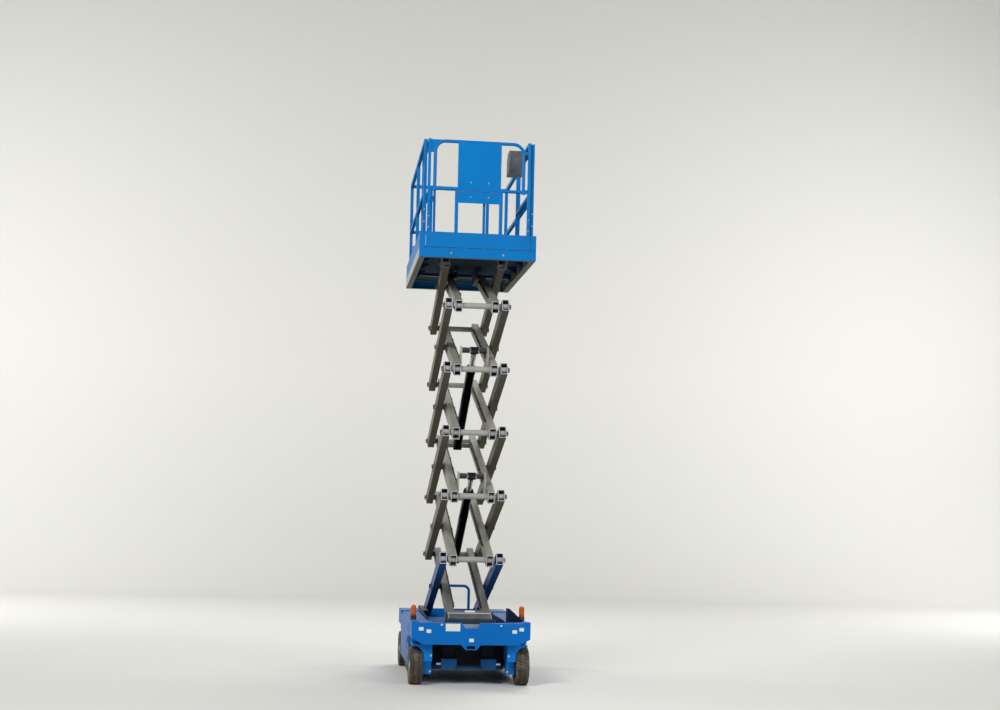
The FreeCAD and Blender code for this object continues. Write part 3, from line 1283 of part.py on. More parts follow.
GATE_LOW = DECK + " + gate_foot"
gate_parts = [
    box(("-gate_half", "gate_half"), (gate_y + " - extension_tube / 2", gate_y + " + extension_tube / 2"),
        (z + " - extension_tube", z))
    for z in (TOP, MID, GATE_LOW + " + extension_tube")
]
gate_parts += [
    post(x, gate_y, GATE_LOW, TOP, "extension_tube")
    for x in ("-gate_half + extension_tube / 2", "gate_half - extension_tube / 2")
]
gate_parts.append(box(("-gate_half", "gate_half"), (gate_y, gate_y + " + toe_plate"),
                      (GATE_LOW, DECK + " + toe_height")))
gate_holes = []
for z in GATE_KNUCKLES:
    upper = z + " + knuckle_length + knuckle_gap"
    gate_parts.append(rod("Z", gate_hinge_x, gate_hinge_y, upper, "knuckle_radius", "knuckle_length"))
    gate_parts.append(box((gate_hinge_x + " + knuckle_radius / 2", "-gate_half + knuckle_radius"),
                          (gate_hinge_y + " - knuckle_radius / 2", gate_y),
                          (upper, upper + " + knuckle_length")))
    gate_holes.append(rod("Z", gate_hinge_x, gate_hinge_y, z, "knuckle_pin + knuckle_play",
                          "2 * knuckle_length + knuckle_gap + " + PAST))
node("entry_gate", cut(fuse(gate_parts), gate_holes))

# Extension deck, rolled in
EXT_LOW = DECK + " + extension_gap"
EXT = EXT_LOW + " + extension_step"
ext_half = "extension_post_x + extension_tube / 2"
ext_y = (FRONT + " + toe_plate", FRONT + " + extension_length")
ext_floor = [box(("-(%s)" % ext_half, ext_half), ext_y, (EXT + " - extension_plate", EXT))]
for x in ("-(%s)" % ext_half, "-extension_rib / 2", ext_half + " - extension_rib"):
    ext_floor.append(box((x, x + " + extension_rib"), ext_y, (DECK + " + wear_gap", EXT)))
toe_face = box(("-toe_half", "toe_half"), (FRONT, FRONT + " + toe_plate"),
               (DECK + " + toe_clear", DECK + " + toe_height"))
fold = ((FRONT, FRONT + " + toe_lip"), (DECK + " + toe_height - toe_plate", DECK + " + toe_height"))
fold_inner = "panel_half - panel_post_lap - fold_clear"
toe_folds = [box(("-(%s)" % fold_inner, fold_inner), *fold)]
fold_outer = ("panel_half - panel_post_lap + rail_tube + fold_clear",
              "extension_post_x - extension_tube / 2 - fold_clear")
toe_folds += both(box(fold_outer, *fold))
node("extension_deck", fuse(ext_floor + [toe_face] + toe_folds))

ext_posts = [
    post("extension_post_x", y, EXT, TOP, "extension_tube")
    for y in (FRONT + " + end_inset", FRONT + " + extension_length - end_inset")
]
ext_rails = [
    box(("extension_post_x - extension_tube / 2", ext_half),
        (FRONT + " + end_inset - extension_tube / 2",
         FRONT + " + extension_length - end_inset + extension_tube / 2"),
        (z + " - extension_tube", z))
    for z in (TOP, MID)
]
node("extension_rails", fuse(both(fuse(ext_posts + ext_rails))))

# Front rail: a bent hoop on a lower rail, with the flat panel and the band on its face
loop_y = FRONT + " + end_inset"
TUBE = "rail_tube / 2"
LOOP_LOW = DECK + " + loop_low + " + TUBE
PANEL_FACE = "%s - %s - panel_seat" % (loop_y, TUBE)
LOOP_EDGE = "loop_half + rail_tube * 0.3"
POST_EDGE = "extension_post_x - extension_tube / 2"
bent = fuse(hoop("loop_half", loop_y, DECK + " + loop_low - leg_past", TOP + " - " + TUBE,
                 "loop_corner", TUBE))
lower_bar = across(loop_y, LOOP_LOW, TUBE, "-loop_half", "loop_half")
rail_parts = [fuse([bent, lower_bar])]
for z in (TOP + " - tie_drop", DECK + " + loop_low"):
    rail_parts += both(box((LOOP_EDGE, POST_EDGE), (loop_y + " - tie_half", loop_y + " + tie_half"),
                           (z, z + " + tie_height")))
for z_low, z_high in ((DECK + " + loop_low", DECK + " + panel_top"),
                      (DECK + " + band_low", DECK + " + loop_low - band_gap")):
    rail_parts.append(box(("-panel_half", "panel_half"), (PANEL_FACE, PANEL_FACE + " + panel_plate"),
                          (z_low, z_high)))
rail_parts.append(box(("-panel_half", "panel_half"), (PANEL_FACE, PANEL_FACE + " + panel_lip"),
                      (DECK + " + panel_top - panel_plate", DECK + " + panel_top")))
rail_parts += both(box(("panel_half - panel_post_lap", "panel_half - panel_post_lap + rail_tube"),
                       (PANEL_FACE + " + panel_plate - 1", PANEL_FACE + " + extension_tube"),
                       (EXT, LOOP_LOW)))
node("front_rail", fuse(rail_parts, refine=False))

# Control box under the extension's top rail, with a sloped face towards the operator
BOX_LOW = TOP + " - control_drop"
BOX_HIGH = TOP + " - control_top"
BOX_Y = FRONT + " + control_inset"
control = outline(
    (
        (BOX_Y, BOX_LOW),
        (BOX_Y + " + control_length", BOX_LOW),
        (BOX_Y + " + control_length", BOX_HIGH + " - control_slope"),
        (BOX_Y + " + control_length - control_slope", BOX_HIGH),
        (BOX_Y, BOX_HIGH),
    ),
    "YZ_Plane",
    POST_EDGE + " - control_width",
    POST_EDGE,
)
node("control_box", control)

doc.recompute()

faults = []
for item in doc.Objects:
    if "Invalid" in item.State or "Error" in item.State:
        faults.append("%s (%s) %s" % (item.Name, item.Label, item.State))
for part in NODES:
    if part.Shape.isNull() or not part.Shape.isValid() or not part.Shape.Solids:
        faults.append("%s has no sound shape" % part.Label)
if faults:
    raise RuntimeError("\n".join(faults))

os.makedirs("parts", exist_ok=True)
for part in NODES:
    part.Shape.exportStep("parts/%s.step" % part.Label)
    bounds = part.Shape.BoundBox
    print("%-24s solids %d volume %.0f box %.1f %.1f %.1f to %.1f %.1f %.1f" % (
        part.Label, len(part.Shape.Solids), part.Shape.Volume, bounds.XMin, bounds.YMin, bounds.ZMin,
        bounds.XMax, bounds.YMax, bounds.ZMax))
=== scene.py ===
"""Scissor lift dressed for its photograph: finishes, tread, fasteners, hoses, controls, floor and lights.

Metres, X across the machine, Y along it, Z up. The steer end faces -Y and the entry end +Y.
"""
import logging
import math
from collections.abc import Mapping, Sequence
from dataclasses import dataclass
from enum import Enum
from functools import reduce

import bmesh
import bpy
import numpy as np
from mathutils import Matrix, Vector


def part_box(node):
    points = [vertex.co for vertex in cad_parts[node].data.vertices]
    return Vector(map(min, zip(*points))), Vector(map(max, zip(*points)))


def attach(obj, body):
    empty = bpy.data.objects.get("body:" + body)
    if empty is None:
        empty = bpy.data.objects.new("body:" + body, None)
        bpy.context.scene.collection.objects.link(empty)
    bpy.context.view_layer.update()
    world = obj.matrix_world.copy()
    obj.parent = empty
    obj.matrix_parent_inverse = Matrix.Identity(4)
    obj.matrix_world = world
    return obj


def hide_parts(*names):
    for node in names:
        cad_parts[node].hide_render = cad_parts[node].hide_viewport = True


Array = np.ndarray
Socket = bpy.types.NodeSocket
Limits = tuple[float, float]
INF = math.inf
LOG = logging.getLogger("scissor_lift")
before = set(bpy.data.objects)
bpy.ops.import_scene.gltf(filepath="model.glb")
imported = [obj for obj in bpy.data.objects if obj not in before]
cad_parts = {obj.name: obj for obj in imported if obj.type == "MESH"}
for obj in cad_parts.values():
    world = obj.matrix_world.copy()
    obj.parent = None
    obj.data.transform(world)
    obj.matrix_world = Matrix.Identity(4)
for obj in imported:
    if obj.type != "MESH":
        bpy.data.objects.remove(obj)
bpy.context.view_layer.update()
X, Y, Z = np.eye(3)
# Turn that stands a shape drawn flat on its feet, seen from the steer end
UPRIGHT = np.stack([X, Z, -Y], axis=1)


# Surfaces: grids of points worked out as whole arrays


@dataclass
class Surface:
    """Points of a mesh in the making, and its faces in groups of equal corner count."""

    points: Array
    faces: list[Array]

    def moved(self, offset: Array | Sequence[float]) -> "Surface":
        """The surface shifted by one offset."""
        return Surface(self.points + np.asarray(offset, float), self.faces)

    def turned(self, turn: Array) -> "Surface":
        """The surface turned by a matrix whose columns are its new X, Y and Z."""
        return Surface(self.points @ np.asarray(turn, float).T, self.faces)

    def repeated(self, offsets: Array | Sequence[Sequence[float]]) -> "Surface":
        """Copies of the surface, one at each offset.

        Args:
            offsets: One row of X, Y and Z for each copy.

        Returns:
            One surface that holds all the copies.
        """
        offsets = np.asarray(offsets, float).reshape(-1, 3)
        count = len(self.points)
        points = (self.points[None] + offsets[:, None]).reshape(-1, 3)
        steps = np.arange(len(offsets))[:, None, None] * count
        return Surface(points, [(f[None] + steps).reshape(-1, f.shape[1]) for f in self.faces])


def joined(parts: Sequence[Surface]) -> Surface:
    """Several surfaces as one.

    Args:
        parts: The surfaces, in any order.

    Returns:
        One surface with the points and faces of them all.
    """
    starts = np.cumsum([0] + [len(p.points) for p in parts[:-1]])
    faces = [f + start for p, start in zip(parts, starts) for f in p.faces]
    return Surface(np.concatenate([p.points for p in parts]), faces)


def grid(points: Array, wrap: tuple[bool, bool] = (False, False), caps: bool = False) -> Surface:
    """A surface from points P(u, v) on a grid, with four-sided faces between neighbours.

    Args:
        points: Array of shape (u, v, 3).
        wrap: Whether the last row meets the first along u, and along v.
        caps: Whether the first and last rows along u, which are rings, are closed with a flat face.

    Returns:
        The surface.
    """
    rows, cols = points.shape[:2]
    u, v = np.meshgrid(np.arange(rows - (not wrap[0])), np.arange(cols - (not wrap[1])), indexing="ij")
    u2, v2 = (u + 1) % rows, (v + 1) % cols
    quads = np.stack([u * cols + v, u2 * cols + v, u2 * cols + v2, u * cols + v2], -1).reshape(-1, 4)
    faces = [quads]
    if caps:
        ring = np.arange(cols)[None]
        faces += [ring[:, ::-1], ring + (rows - 1) * cols]
    return Surface(points.reshape(-1, 3), faces)


def axes(along: Array | Sequence[float]) -> Array:
    """Turn that takes Z to a direction: Z' = along, X' = up x along, Y' = Z' x X', each made one long.

    Up is Z, or Y for a direction that is nearly upright itself.

    Args:
        along: The direction that Z is turned to.

    Returns:
        The matrix, whose columns are the three turned axes.
    """
    z = np.asarray(along, float) / np.linalg.norm(along)
    x = np.cross(Y if abs(z[2]) > 0.99 else Z, z)
    x /= np.linalg.norm(x)
    return np.stack([x, np.cross(z, x), z], axis=1)


def lathe(profile: Sequence[tuple[float, float]], sides: int = 32) -> Surface:
    """A profile (height, radius) turned about Z: P(u, v) = (r cos v, r sin v, h).

    Args:
        profile: Height and radius of each point, from one end to the other; a radius of 0 closes the pole.
        sides: Points round the axis.

    Returns:
        The surface.
    """
    h, r = np.asarray(profile, float).T
    turn = np.linspace(0, 2 * np.pi, sides, endpoint=False)
    ring = np.stack([np.cos(turn), np.sin(turn), np.zeros(sides)], -1)
    points = r[:, None, None] * ring + h[:, None, None] * Z
    return grid(points, wrap=(False, True))


def rounded(width: float, height: float, corner: float, steps: int = 4) -> Array:
    """Outline of a rectangle with round corners: four quarter circles, one after the other.

    Args:
        width: Size along the first axis.
        height: Size along the second axis.
        corner: Radius of the corners.
        steps: Points on each quarter circle, less one.

    Returns:
        Array of shape (n, 2), anticlockwise.
    """
    turn = (np.arange(4)[:, None] * 90 + np.linspace(0, 90, steps + 1)).ravel()
    turn = np.radians(turn)
    centre = np.repeat([[1, 1], [-1, 1], [-1, -1], [1, -1]], steps + 1, axis=0)
    reach = np.array([width / 2 - corner, height / 2 - corner])
    return centre * reach + corner * np.stack([np.cos(turn), np.sin(turn)], -1)


def prism(outline: Array, low: float, high: float, taper: float = 0.0) -> Surface:
    """An outline carried along Z from low to high, closed at both ends.

    Args:
        outline: Array of shape (n, 2).
        low: Where it starts.
        high: Where it ends.
        taper: Share by which the far end is smaller.

    Returns:
        The surface, P(u, v) = (outline(v) * (1 - taper u), low + u (high - low)).
    """
    u = np.array([0.0, 1.0])[:, None, None]
    flat = outline[None] * (1 - taper * u)
    height = np.broadcast_to(low + u * (high - low), flat.shape[:2] + (1,))
    return grid(np.concatenate([flat, height], -1), wrap=(False, True), caps=True)


def band(outer: Array, inner: Array, low: float, high: float) -> Surface:
    """A flat ring between two outlines, carried along Z: a four-cornered profile that follows the outline.

    Args:
        outer: Outer outline, shape (n, 2).
        inner: Inner outline with as many points.
        low: Where the ring starts along Z.
        high: Where it ends.

    Returns:
        The surface, closed round both ways.
    """
    corners = [(outer, low), (outer, high), (inner, high), (inner, low)]
    rows = [np.column_stack([line, np.full(len(line), z)]) for line, z in corners]
    return grid(np.stack(rows), wrap=(True, True))


def curve_through(points: Sequence[Sequence[float]], steps: int = 10) -> Array:
    """A smooth line through points, by the cubic p(t) whose slope at each point is half the chord round it.

    Args:
        points: The points that it passes.
        steps: Points worked out on each span.

    Returns:
        Array of shape (n, 3).
    """
    p = np.asarray(points, float)
    slope = np.gradient(p, axis=0)
    t = np.linspace(0, 1, steps, endpoint=False)[:, None]
    hermite = (2 * t**3 - 3 * t**2 + 1, t**3 - 2 * t**2 + t, -2 * t**3 + 3 * t**2, t**3 - t**2)
    spans = sum(h[None] * part[:, None] for h, part in zip(hermite, (p[:-1], slope[:-1], p[1:], slope[1:])))
    return np.concatenate([spans.reshape(-1, 3), p[-1:]])


def sweep(path: Array, section: Array, up: Array = X) -> Surface:
    """A section carried along a path: P(u, v) = path(u) + a(u, v) side(u) + b(u, v) normal(u).

    Args:
        path: Array of shape (n, 3).
        section: Array of shape (k, 2).
        up: A direction never in line with the path; side = tangent x up, normal = side x tangent.

    Returns:
        The closed surface.
    """
    tangent = np.gradient(path, axis=0)
    tangent /= np.linalg.norm(tangent, axis=1, keepdims=True)
    side = np.cross(tangent, up)
    side /= np.linalg.norm(side, axis=1, keepdims=True)
    normal = np.cross(side, tangent)
    points = path[:, None] + section[:, :1] * side[:, None] + section[:, 1:] * normal[:, None]
    return grid(points, wrap=(False, True), caps=True)


def tube(path: Array, radius: float, up: Array = X, sides: int = 14) -> Surface:
    """A round section carried along a path.

    Args:
        path: Array of shape (n, 3).
        radius: Its radius.
        up: A direction never in line with the path.
        sides: Points round the section.

    Returns:
        The closed surface.
    """
    turn = np.linspace(0, 2 * np.pi, sides, endpoint=False)
    return sweep(path, radius * np.stack([np.cos(turn), np.sin(turn)], -1), up)


def bead(radius: float, size: float, ripples: int = 40) -> Surface:
    """A weld bead round a circle in the plane Z = 0, its ripples a wave on the size of the bead.

    P(u, v) = ((R + s cos v) cos u, (R + s cos v) sin u, s sin v), with s = size (1 + 0.15 cos(ripples u)).

    Args:
        radius: Radius R of the circle.
        size: Half thickness of the bead.
        ripples: Ripples in one turn.

    Returns:
        The closed surface.
    """
    u = np.linspace(0, 2 * np.pi, 4 * ripples, endpoint=False)[:, None]
    v = np.linspace(0, 2 * np.pi, 8, endpoint=False)[None]
    s = size * (1 + 0.15 * np.cos(ripples * u))
    reach = radius + s * np.cos(v)
    points = np.stack([reach * np.cos(u), reach * np.sin(u), s * np.sin(v)], -1)
    return grid(points, wrap=(True, True))


def lozenges(across: tuple[float, float], along: tuple[float, float], floor: float, pitch: float) -> Surface:
    """Raised lozenges of a tread plate, at 45 and -45 degrees by turns on a square lattice.

    Each is a low dome of two elliptical rings: P(u, v) = (a(u) cos v, b(u) sin v, h(u)).

    Args:
        across: First and last place across the plate.
        along: First and last place along it.
        floor: Height of the plate.
        pitch: Distance between lozenges.

    Returns:
        One surface that holds them all.
    """
    v = np.linspace(0, 2 * np.pi, 8, endpoint=False)
    # Half length, half width and height of the foot and of the crown
    reach = np.array([(0.0135, 0.0045, -0.0004), (0.0105, 0.0028, 0.0016)])
    rings = np.stack([reach[:, :1] * np.cos(v), reach[:, 1:2] * np.sin(v), reach[:, 2:] + 0 * v], -1)
    dome = grid(rings, wrap=(False, True), caps=True)
    x, y = np.meshgrid(np.arange(*across, pitch), np.arange(*along, pitch), indexing="ij")
    row, column = np.indices(x.shape)
    parts = []
    for which, turn in ((0, 45), (1, -45)):
        chosen = (row + column) % 2 == which
        places = np.stack([x[chosen], y[chosen], np.full(chosen.sum(), floor)], -1)
        way = (math.cos(math.radians(turn)), math.sin(math.radians(turn)), 0.0)
        frame = np.stack([way, np.cross(Z, way), Z], axis=1)
        parts.append(dome.turned(frame).repeated(places))
    return joined(parts)


def hex_bolt(radius: float) -> Surface:
    """A hexagon head with a chamfered crown on a round washer, standing on Z = 0."""
    head = 1.15 * radius
    washer = lathe([(0, 0), (0, 1.9 * radius), (0.3 * radius, 1.9 * radius), (0.3 * radius, 0)], 24)
    crown = [(0.2 * radius, 0), (0.2 * radius, head), (1.2 * radius, head), (1.4 * radius, 0.84 * head),
             (1.4 * radius, 0)]
    return joined([washer, lathe(crown, 6)])


def button_head(radius: float) -> Surface:
    """A low round head with a hexagon socket, standing on Z = 0."""
    dome = [(0, 0), (0, radius), (0.12 * radius, radius), (0.30 * radius, 0.8 * radius),
            (0.38 * radius, 0.45 * radius), (0.15 * radius, 0.40 * radius), (0.15 * radius, 0)]
    return lathe(dome, 24)


# Placing on the model


@dataclass(frozen=True)
class Seat:
    """A spot on a face of a CAD node, and the direction in which that face looks."""

    point: Array
    normal: Array


def seat(node: str, start: Sequence[float], way: Sequence[float]) -> Seat:
    """The spot where a straight line first meets a CAD node.

    Args:
        node: The node's name.
        start: Where the line starts.
        way: Its direction.

    Returns:
        The spot and the direction that the face there looks in.
    """
    hit, point, normal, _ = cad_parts[node].ray_cast(Vector(start), Vector(way).normalized())
    if not hit:
        raise ValueError("no face of %s from %s" % (node, tuple(start)))
    normal = np.array(normal)
    if normal @ np.asarray(way, float) > 0:
        normal = -normal
    return Seat(np.array(point), normal)


def seated(shape: Surface, spots: Sequence[Seat]) -> Surface:
    """Copies of a shape standing on faces, its Z along each face's normal.

    Args:
        shape: The shape, standing on Z = 0.
        spots: The spots that carry it.

    Returns:
        One surface that holds the copies.
    """
    return joined([shape.turned(axes(spot.normal)).moved(spot.point) for spot in spots])


# Finishes


def linear(colour: str) -> tuple[float, float, float, float]:
    """Colour for a shader from its sRGB hex value.

    Args:
        colour: Six hex digits after a hash sign.

    Returns:
        Linear red, green and blue, and an alpha of one.
    """
    c = np.array([int(colour[i:i + 2], 16) for i in (1, 3, 5)]) / 255
    c = np.where(c <= 0.04045, c / 12.92, ((c + 0.055) / 1.055) ** 2.4)
    return (*c.tolist(), 1.0)


def add_node(
    tree: bpy.types.NodeTree,
    kind: str,
    settings: Mapping[str, object] | None = None,
    inputs: Mapping[str | int, object] | None = None,
) -> bpy.types.Node:
    """Adds one shader node with its settings and links.

    Args:
        tree: The node tree.
        kind: The node's type, without the word ShaderNode.
        settings: Properties of the node.
        inputs: Its inputs by name or number, each a value or another node's output.

    Returns:
        The node.
    """
    node = tree.nodes.new("ShaderNode" + kind)
    for key, value in (settings or {}).items():
        setattr(node, key, value)
    for key, value in (inputs or {}).items():
        if isinstance(value, Socket):
            tree.links.new(value, node.inputs[key])
        else:
            node.inputs[key].default_value = value
    return node


# Settings of a Mix node that lays one colour (input 7) over another (input 6) where a mask (input 0) is one
OVER = {"data_type": "RGBA"}
TIMES = {"operation": "MULTIPLY"}


@dataclass(frozen=True)
class Finish:
    """A material named for what the real one is and how its surface was made."""

    name: str
    colour: str
    roughness: float

    def material(self) -> bpy.types.Material:
        """The material, made when it is first asked for.

        Returns:
            The Blender material.
        """
        known = bpy.data.materials.get(self.name)
        if known:
            return known
        made = bpy.data.materials.new(self.name)
        made.use_nodes = True
        made.diffuse_color = linear(self.colour)
        tree = made.node_tree
        tree.nodes.clear()
        shader = add_node(tree, "BsdfPrincipled", {}, {"Roughness": self.roughness})
        output = add_node(tree, "OutputMaterial")
        tree.links.new(shader.outputs[0], output.inputs[0])
        self.dress(tree, shader)
        return made

    def dress(self, tree: bpy.types.NodeTree, shader: bpy.types.Node) -> None:
        """Fills the shader's inputs. Each kind of finish has its own."""
        shader.inputs["Base Color"].default_value = linear(self.colour)


@dataclass(frozen=True)
class Zone:
    """A part of a node drawn in another colour, for paint and for painted light and shade: where each measure
    is between its limits.

    Across is taken from the machine's middle plane, and facing_up is the upward share of the face's normal.
    """

    colour: str
    across: Limits = (-INF, INF)
    along: Limits = (-INF, INF)
    height: Limits = (-INF, INF)
    facing_up: Limits = (-INF, INF)

    def mask(self, tree: bpy.types.NodeTree, measures: Sequence[Socket]) -> Socket:
        """One inside the zone and nought outside.

        Args:
            tree: The node tree.
            measures: The four measures, in the order of the limits.

        Returns:
            The mask.
        """
        limits = (self.across, self.along, self.height, self.facing_up)
        tests = [add_node(tree, "Math", {"operation": test}, {0: measure, 1: limit}).outputs[0]
                 for measure, (low, high) in zip(measures, limits)
                 for test, limit in (("GREATER_THAN", low), ("LESS_THAN", high)) if math.isfinite(limit)]
        return reduce(lambda one, other: add_node(tree, "Math", TIMES, {0: one, 1: other}).outputs[0], tests)


@dataclass(frozen=True)
class PowderCoat(Finish):
    """Powder-coated steel, sprayed and baked: even colour, soft gloss, a fine orange peel, paint rubbed thin
    at edges, dust on what faces up."""

    worn: str = "#9A9C9C"
    dust: str = "#8E8A80"
    dustiness: float = 0.30
    wear: float = 0.5
    drift: float = 0.10
    grime: float = 0.0
    gloss: float = 0.25
    zones: tuple[Zone, ...] = ()

    def base(self, tree: bpy.types.NodeTree, place: Socket) -> Socket | tuple:
        """The paint's own colour before wear."""
        return linear(self.colour)

    def zoned(self, tree: bpy.types.NodeTree, place: Socket, face: Socket) -> Socket | tuple:
        """The paint's colour with that of each zone over it.

        Args:
            tree: The node tree.
            place: Where the point lies.
            face: The face's normal.

        Returns:
            The colour before wear.
        """
        colour = self.base(tree, place)
        if not self.zones:
            return colour
        x, y, z = add_node(tree, "SeparateXYZ", {}, {0: place}).outputs
        across = add_node(tree, "Math", {"operation": "ABSOLUTE"}, {0: x}).outputs[0]
        up = add_node(tree, "SeparateXYZ", {}, {0: face}).outputs[2]
        for zone in self.zones:
            mask = zone.mask(tree, (across, y, z, up))
            colour = add_node(tree, "Mix", OVER, {0: mask, 6: colour, 7: linear(zone.colour)}).outputs[2]
        return colour

    def dress(self, tree: bpy.types.NodeTree, shader: bpy.types.Node) -> None:
        """Paint, its drift over half a metre, rubbed edges, dust and peel."""
        place = add_node(tree, "TexCoord").outputs["Object"]
        # Colour drifts over patches of about 400 mm, as on a sheet wiped and rained on
        patch = add_node(tree, "TexNoise", {}, {"Vector": place, "Scale": 2.5, "Detail": 4.0}).outputs[0]
        patch = add_node(tree, "MapRange", {},
                         {"Value": patch, 1: 0.35, 2: 0.7, 3: 0.0, 4: self.drift}).outputs[0]
        face = add_node(tree, "NewGeometry").outputs["Normal"]
        colour = add_node(tree, "Mix", OVER,
                          {0: patch, 6: self.zoned(tree, place, face), 7: linear("#1A1A18")}).outputs[2]
        # Scuffs: 12 mm flecks within 60 mm patches
        fleck = add_node(tree, "TexNoise", {}, {"Vector": place, "Scale": 80.0, "Detail": 3.0}).outputs[0]
        zone = add_node(tree, "TexNoise", {}, {"Vector": place, "Scale": 16.0, "Detail": 2.0}).outputs[0]
        ragged = add_node(tree, "Math", TIMES, {0: fleck, 1: zone}).outputs[0]
        # Edges: where the shading normal, rounded over 3 mm, leaves the face's own
        round_edge = add_node(tree, "Bevel", {"samples": 4}, {"Radius": 0.003}).outputs[0]
        bend = add_node(tree, "VectorMath", {"operation": "DOT_PRODUCT"},
                        {0: round_edge, 1: face}).outputs["Value"]
        edge = add_node(tree, "MapRange", {}, {"Value": bend, 1: 0.985, 2: 0.85}).outputs[0]
        rubbed = add_node(tree, "MapRange", {},
                          {"Value": ragged, 1: 0.22, 2: 0.34, 3: 0.0, 4: self.wear}).outputs[0]
        bare = add_node(tree, "Math", TIMES, {0: edge, 1: rubbed}).outputs[0]
        colour = add_node(tree, "Mix", OVER, {0: bare, 6: colour, 7: linear(self.worn)}).outputs[2]
        # Dust lies on what faces up, and road film on what is below 450 mm
        up = add_node(tree, "SeparateXYZ", {}, {0: face}).outputs[2]
        lying = add_node(tree, "MapRange", {},
                         {"Value": up, 1: 0.3, 2: 0.95, 3: 0.0, 4: self.dustiness}).outputs[0]
        lying = add_node(tree, "Math", TIMES, {0: lying, 1: zone}).outputs[0]
        colour = add_node(tree, "Mix", OVER, {0: lying, 6: colour, 7: linear(self.dust)}).outputs[2]
        if self.grime:
            low = add_node(tree, "SeparateXYZ", {}, {0: place}).outputs[2]
            low = add_node(tree, "MapRange", {},
                           {"Value": low, 1: 0.45, 2: 0.08, 3: 0.0, 4: self.grime}).outputs[0]
            low = add_node(tree, "Math", TIMES, {0: low, 1: zone}).outputs[0]
            colour = add_node(tree, "Mix", OVER, {0: low, 6: colour, 7: linear("#3A342C")}).outputs[2]
        tree.links.new(colour, shader.inputs["Base Color"])
        gloss = add_node(tree, "MapRange", {},
                         {"Value": fleck, 3: self.roughness - 0.06, 4: self.roughness + 0.08})
        tree.links.new(gloss.outputs[0], shader.inputs["Roughness"])
        # Orange peel is about 1 mm from crest to crest; drawn at 8 mm, so that it shows
        peel = add_node(tree, "TexNoise", {}, {"Vector": place, "Scale": 120.0, "Detail": 1.0}).outputs[0]
        bump = add_node(tree, "Bump", {},
                        {"Height": peel, "Strength": 0.12, "Distance": 0.0006, "Normal": round_edge})
        tree.links.new(bump.outputs[0], shader.inputs["Normal"])
        # Faces that look down lose their specular reflection, so they don't mirror the floor and stay dark:
        # painted shade
        shine = add_node(tree, "MapRange", {}, {"Value": up, 1: -0.7, 2: -0.2, 3: 0.0, 4: self.gloss})
        tree.links.new(shine.outputs[0], shader.inputs["Specular IOR Level"])


@dataclass(frozen=True)
class ArmPaint(PowderCoat):
    """Grey powder coat on rolled tube, with long rubs along the arm."""

    streak: str = "#5C5A50"

    def base(self, tree: bpy.types.NodeTree, place: Socket) -> Socket:
        """Grey with soft darker streaks, 30 mm wide and some 300 mm long."""
        mapped = add_node(tree, "Mapping", {}, {"Vector": place, "Scale": (30.0, 3.0, 9.0)}).outputs[0]
        streaks = add_node(tree, "TexNoise", {}, {"Vector": mapped, "Scale": 1.0, "Detail": 3.0}).outputs[0]
        mask = add_node(tree, "MapRange", {}, {"Value": streaks, 1: 0.5, 2: 0.8, 3: 0.0, 4: 0.55}).outputs[0]
        return add_node(tree, "Mix", OVER,
                        {0: mask, 6: linear(self.colour), 7: linear(self.streak)}).outputs[2]


@dataclass(frozen=True)
class Metal(Finish):
    """Bare or plated metal: brushed, turned or zinc-plated, with a grain that breaks up its reflections."""

    grain_mm: float = 6.0
    grain_depth: float = 0.25
    tarnish: str = "#6E6A62"
    tarnished: float = 0.35

    def dress(self, tree: bpy.types.NodeTree, shader: bpy.types.Node) -> None:
        """Plate with spangle or turning marks, and a dull film in patches."""
        place = add_node(tree, "TexCoord").outputs["Object"]
        film = add_node(tree, "TexNoise", {}, {"Vector": place, "Scale": 22.0, "Detail": 4.0}).outputs[0]
        film = add_node(tree, "MapRange", {},
                        {"Value": film, 1: 0.45, 2: 0.75, 3: 0.0, 4: self.tarnished}).outputs[0]
        colour = add_node(tree, "Mix", OVER,
                          {0: film, 6: linear(self.colour), 7: linear(self.tarnish)}).outputs[2]
        tree.links.new(colour, shader.inputs["Base Color"])
        # The real grain is finer than a pixel, so it is drawn at grain_mm
        scale = 1000 / self.grain_mm
        grain = add_node(tree, "TexNoise", {}, {"Vector": place, "Scale": scale, "Detail": 2.0}).outputs[0]
        gloss = add_node(tree, "MapRange", {},
                         {"Value": grain, 3: self.roughness - 0.08, 4: self.roughness + 0.14})
        tree.links.new(gloss.outputs[0], shader.inputs["Roughness"])
        bump = add_node(tree, "Bump", {}, {"Height": grain, "Strength": self.grain_depth, "Distance": 0.0004})
        tree.links.new(bump.outputs[0], shader.inputs["Normal"])
        shader.inputs["Metallic"].default_value = 1.0


@dataclass(frozen=True)
class EyedRod(Metal):
    """A chromed rod whose eye is drawn near-black as painted shade inside the cylinder bracket: the shine
    stops where the eye begins.
    """

    eyes: tuple[tuple[float, float, float], ...] = ((0.0, -0.90078, 2.09052), (0.0, -0.90078, 3.35683))
    reach: float = 0.052
    eye_colour: str = "#0D0E10"

    def dress(self, tree: bpy.types.NodeTree, shader: bpy.types.Node) -> None:
        """The plating, and painted shade within reach of an eye's centre."""
        super().dress(tree, shader)
        place = add_node(tree, "TexCoord").outputs["Object"]
        near = []
        for eye in self.eyes:
            away = add_node(tree, "VectorMath", {"operation": "DISTANCE"},
                            {0: place, 1: eye}).outputs["Value"]
            near.append(add_node(tree, "Math", {"operation": "LESS_THAN"},
                                 {0: away, 1: self.reach}).outputs[0])
        # Within reach of an eye the rod is drawn near-black and not metallic: painted shade
        black = add_node(tree, "Math", {"operation": "MAXIMUM"}, {0: near[0], 1: near[1]}).outputs[0]
        plated = shader.inputs["Base Color"].links[0].from_socket
        colour = add_node(tree, "Mix", OVER, {0: black, 6: plated, 7: linear(self.eye_colour)}).outputs[2]
        tree.links.new(colour, shader.inputs["Base Color"])
        metal = add_node(tree, "Math", {"operation": "SUBTRACT"}, {0: 1.0, 1: black}).outputs[0]
        tree.links.new(metal, shader.inputs["Metallic"])


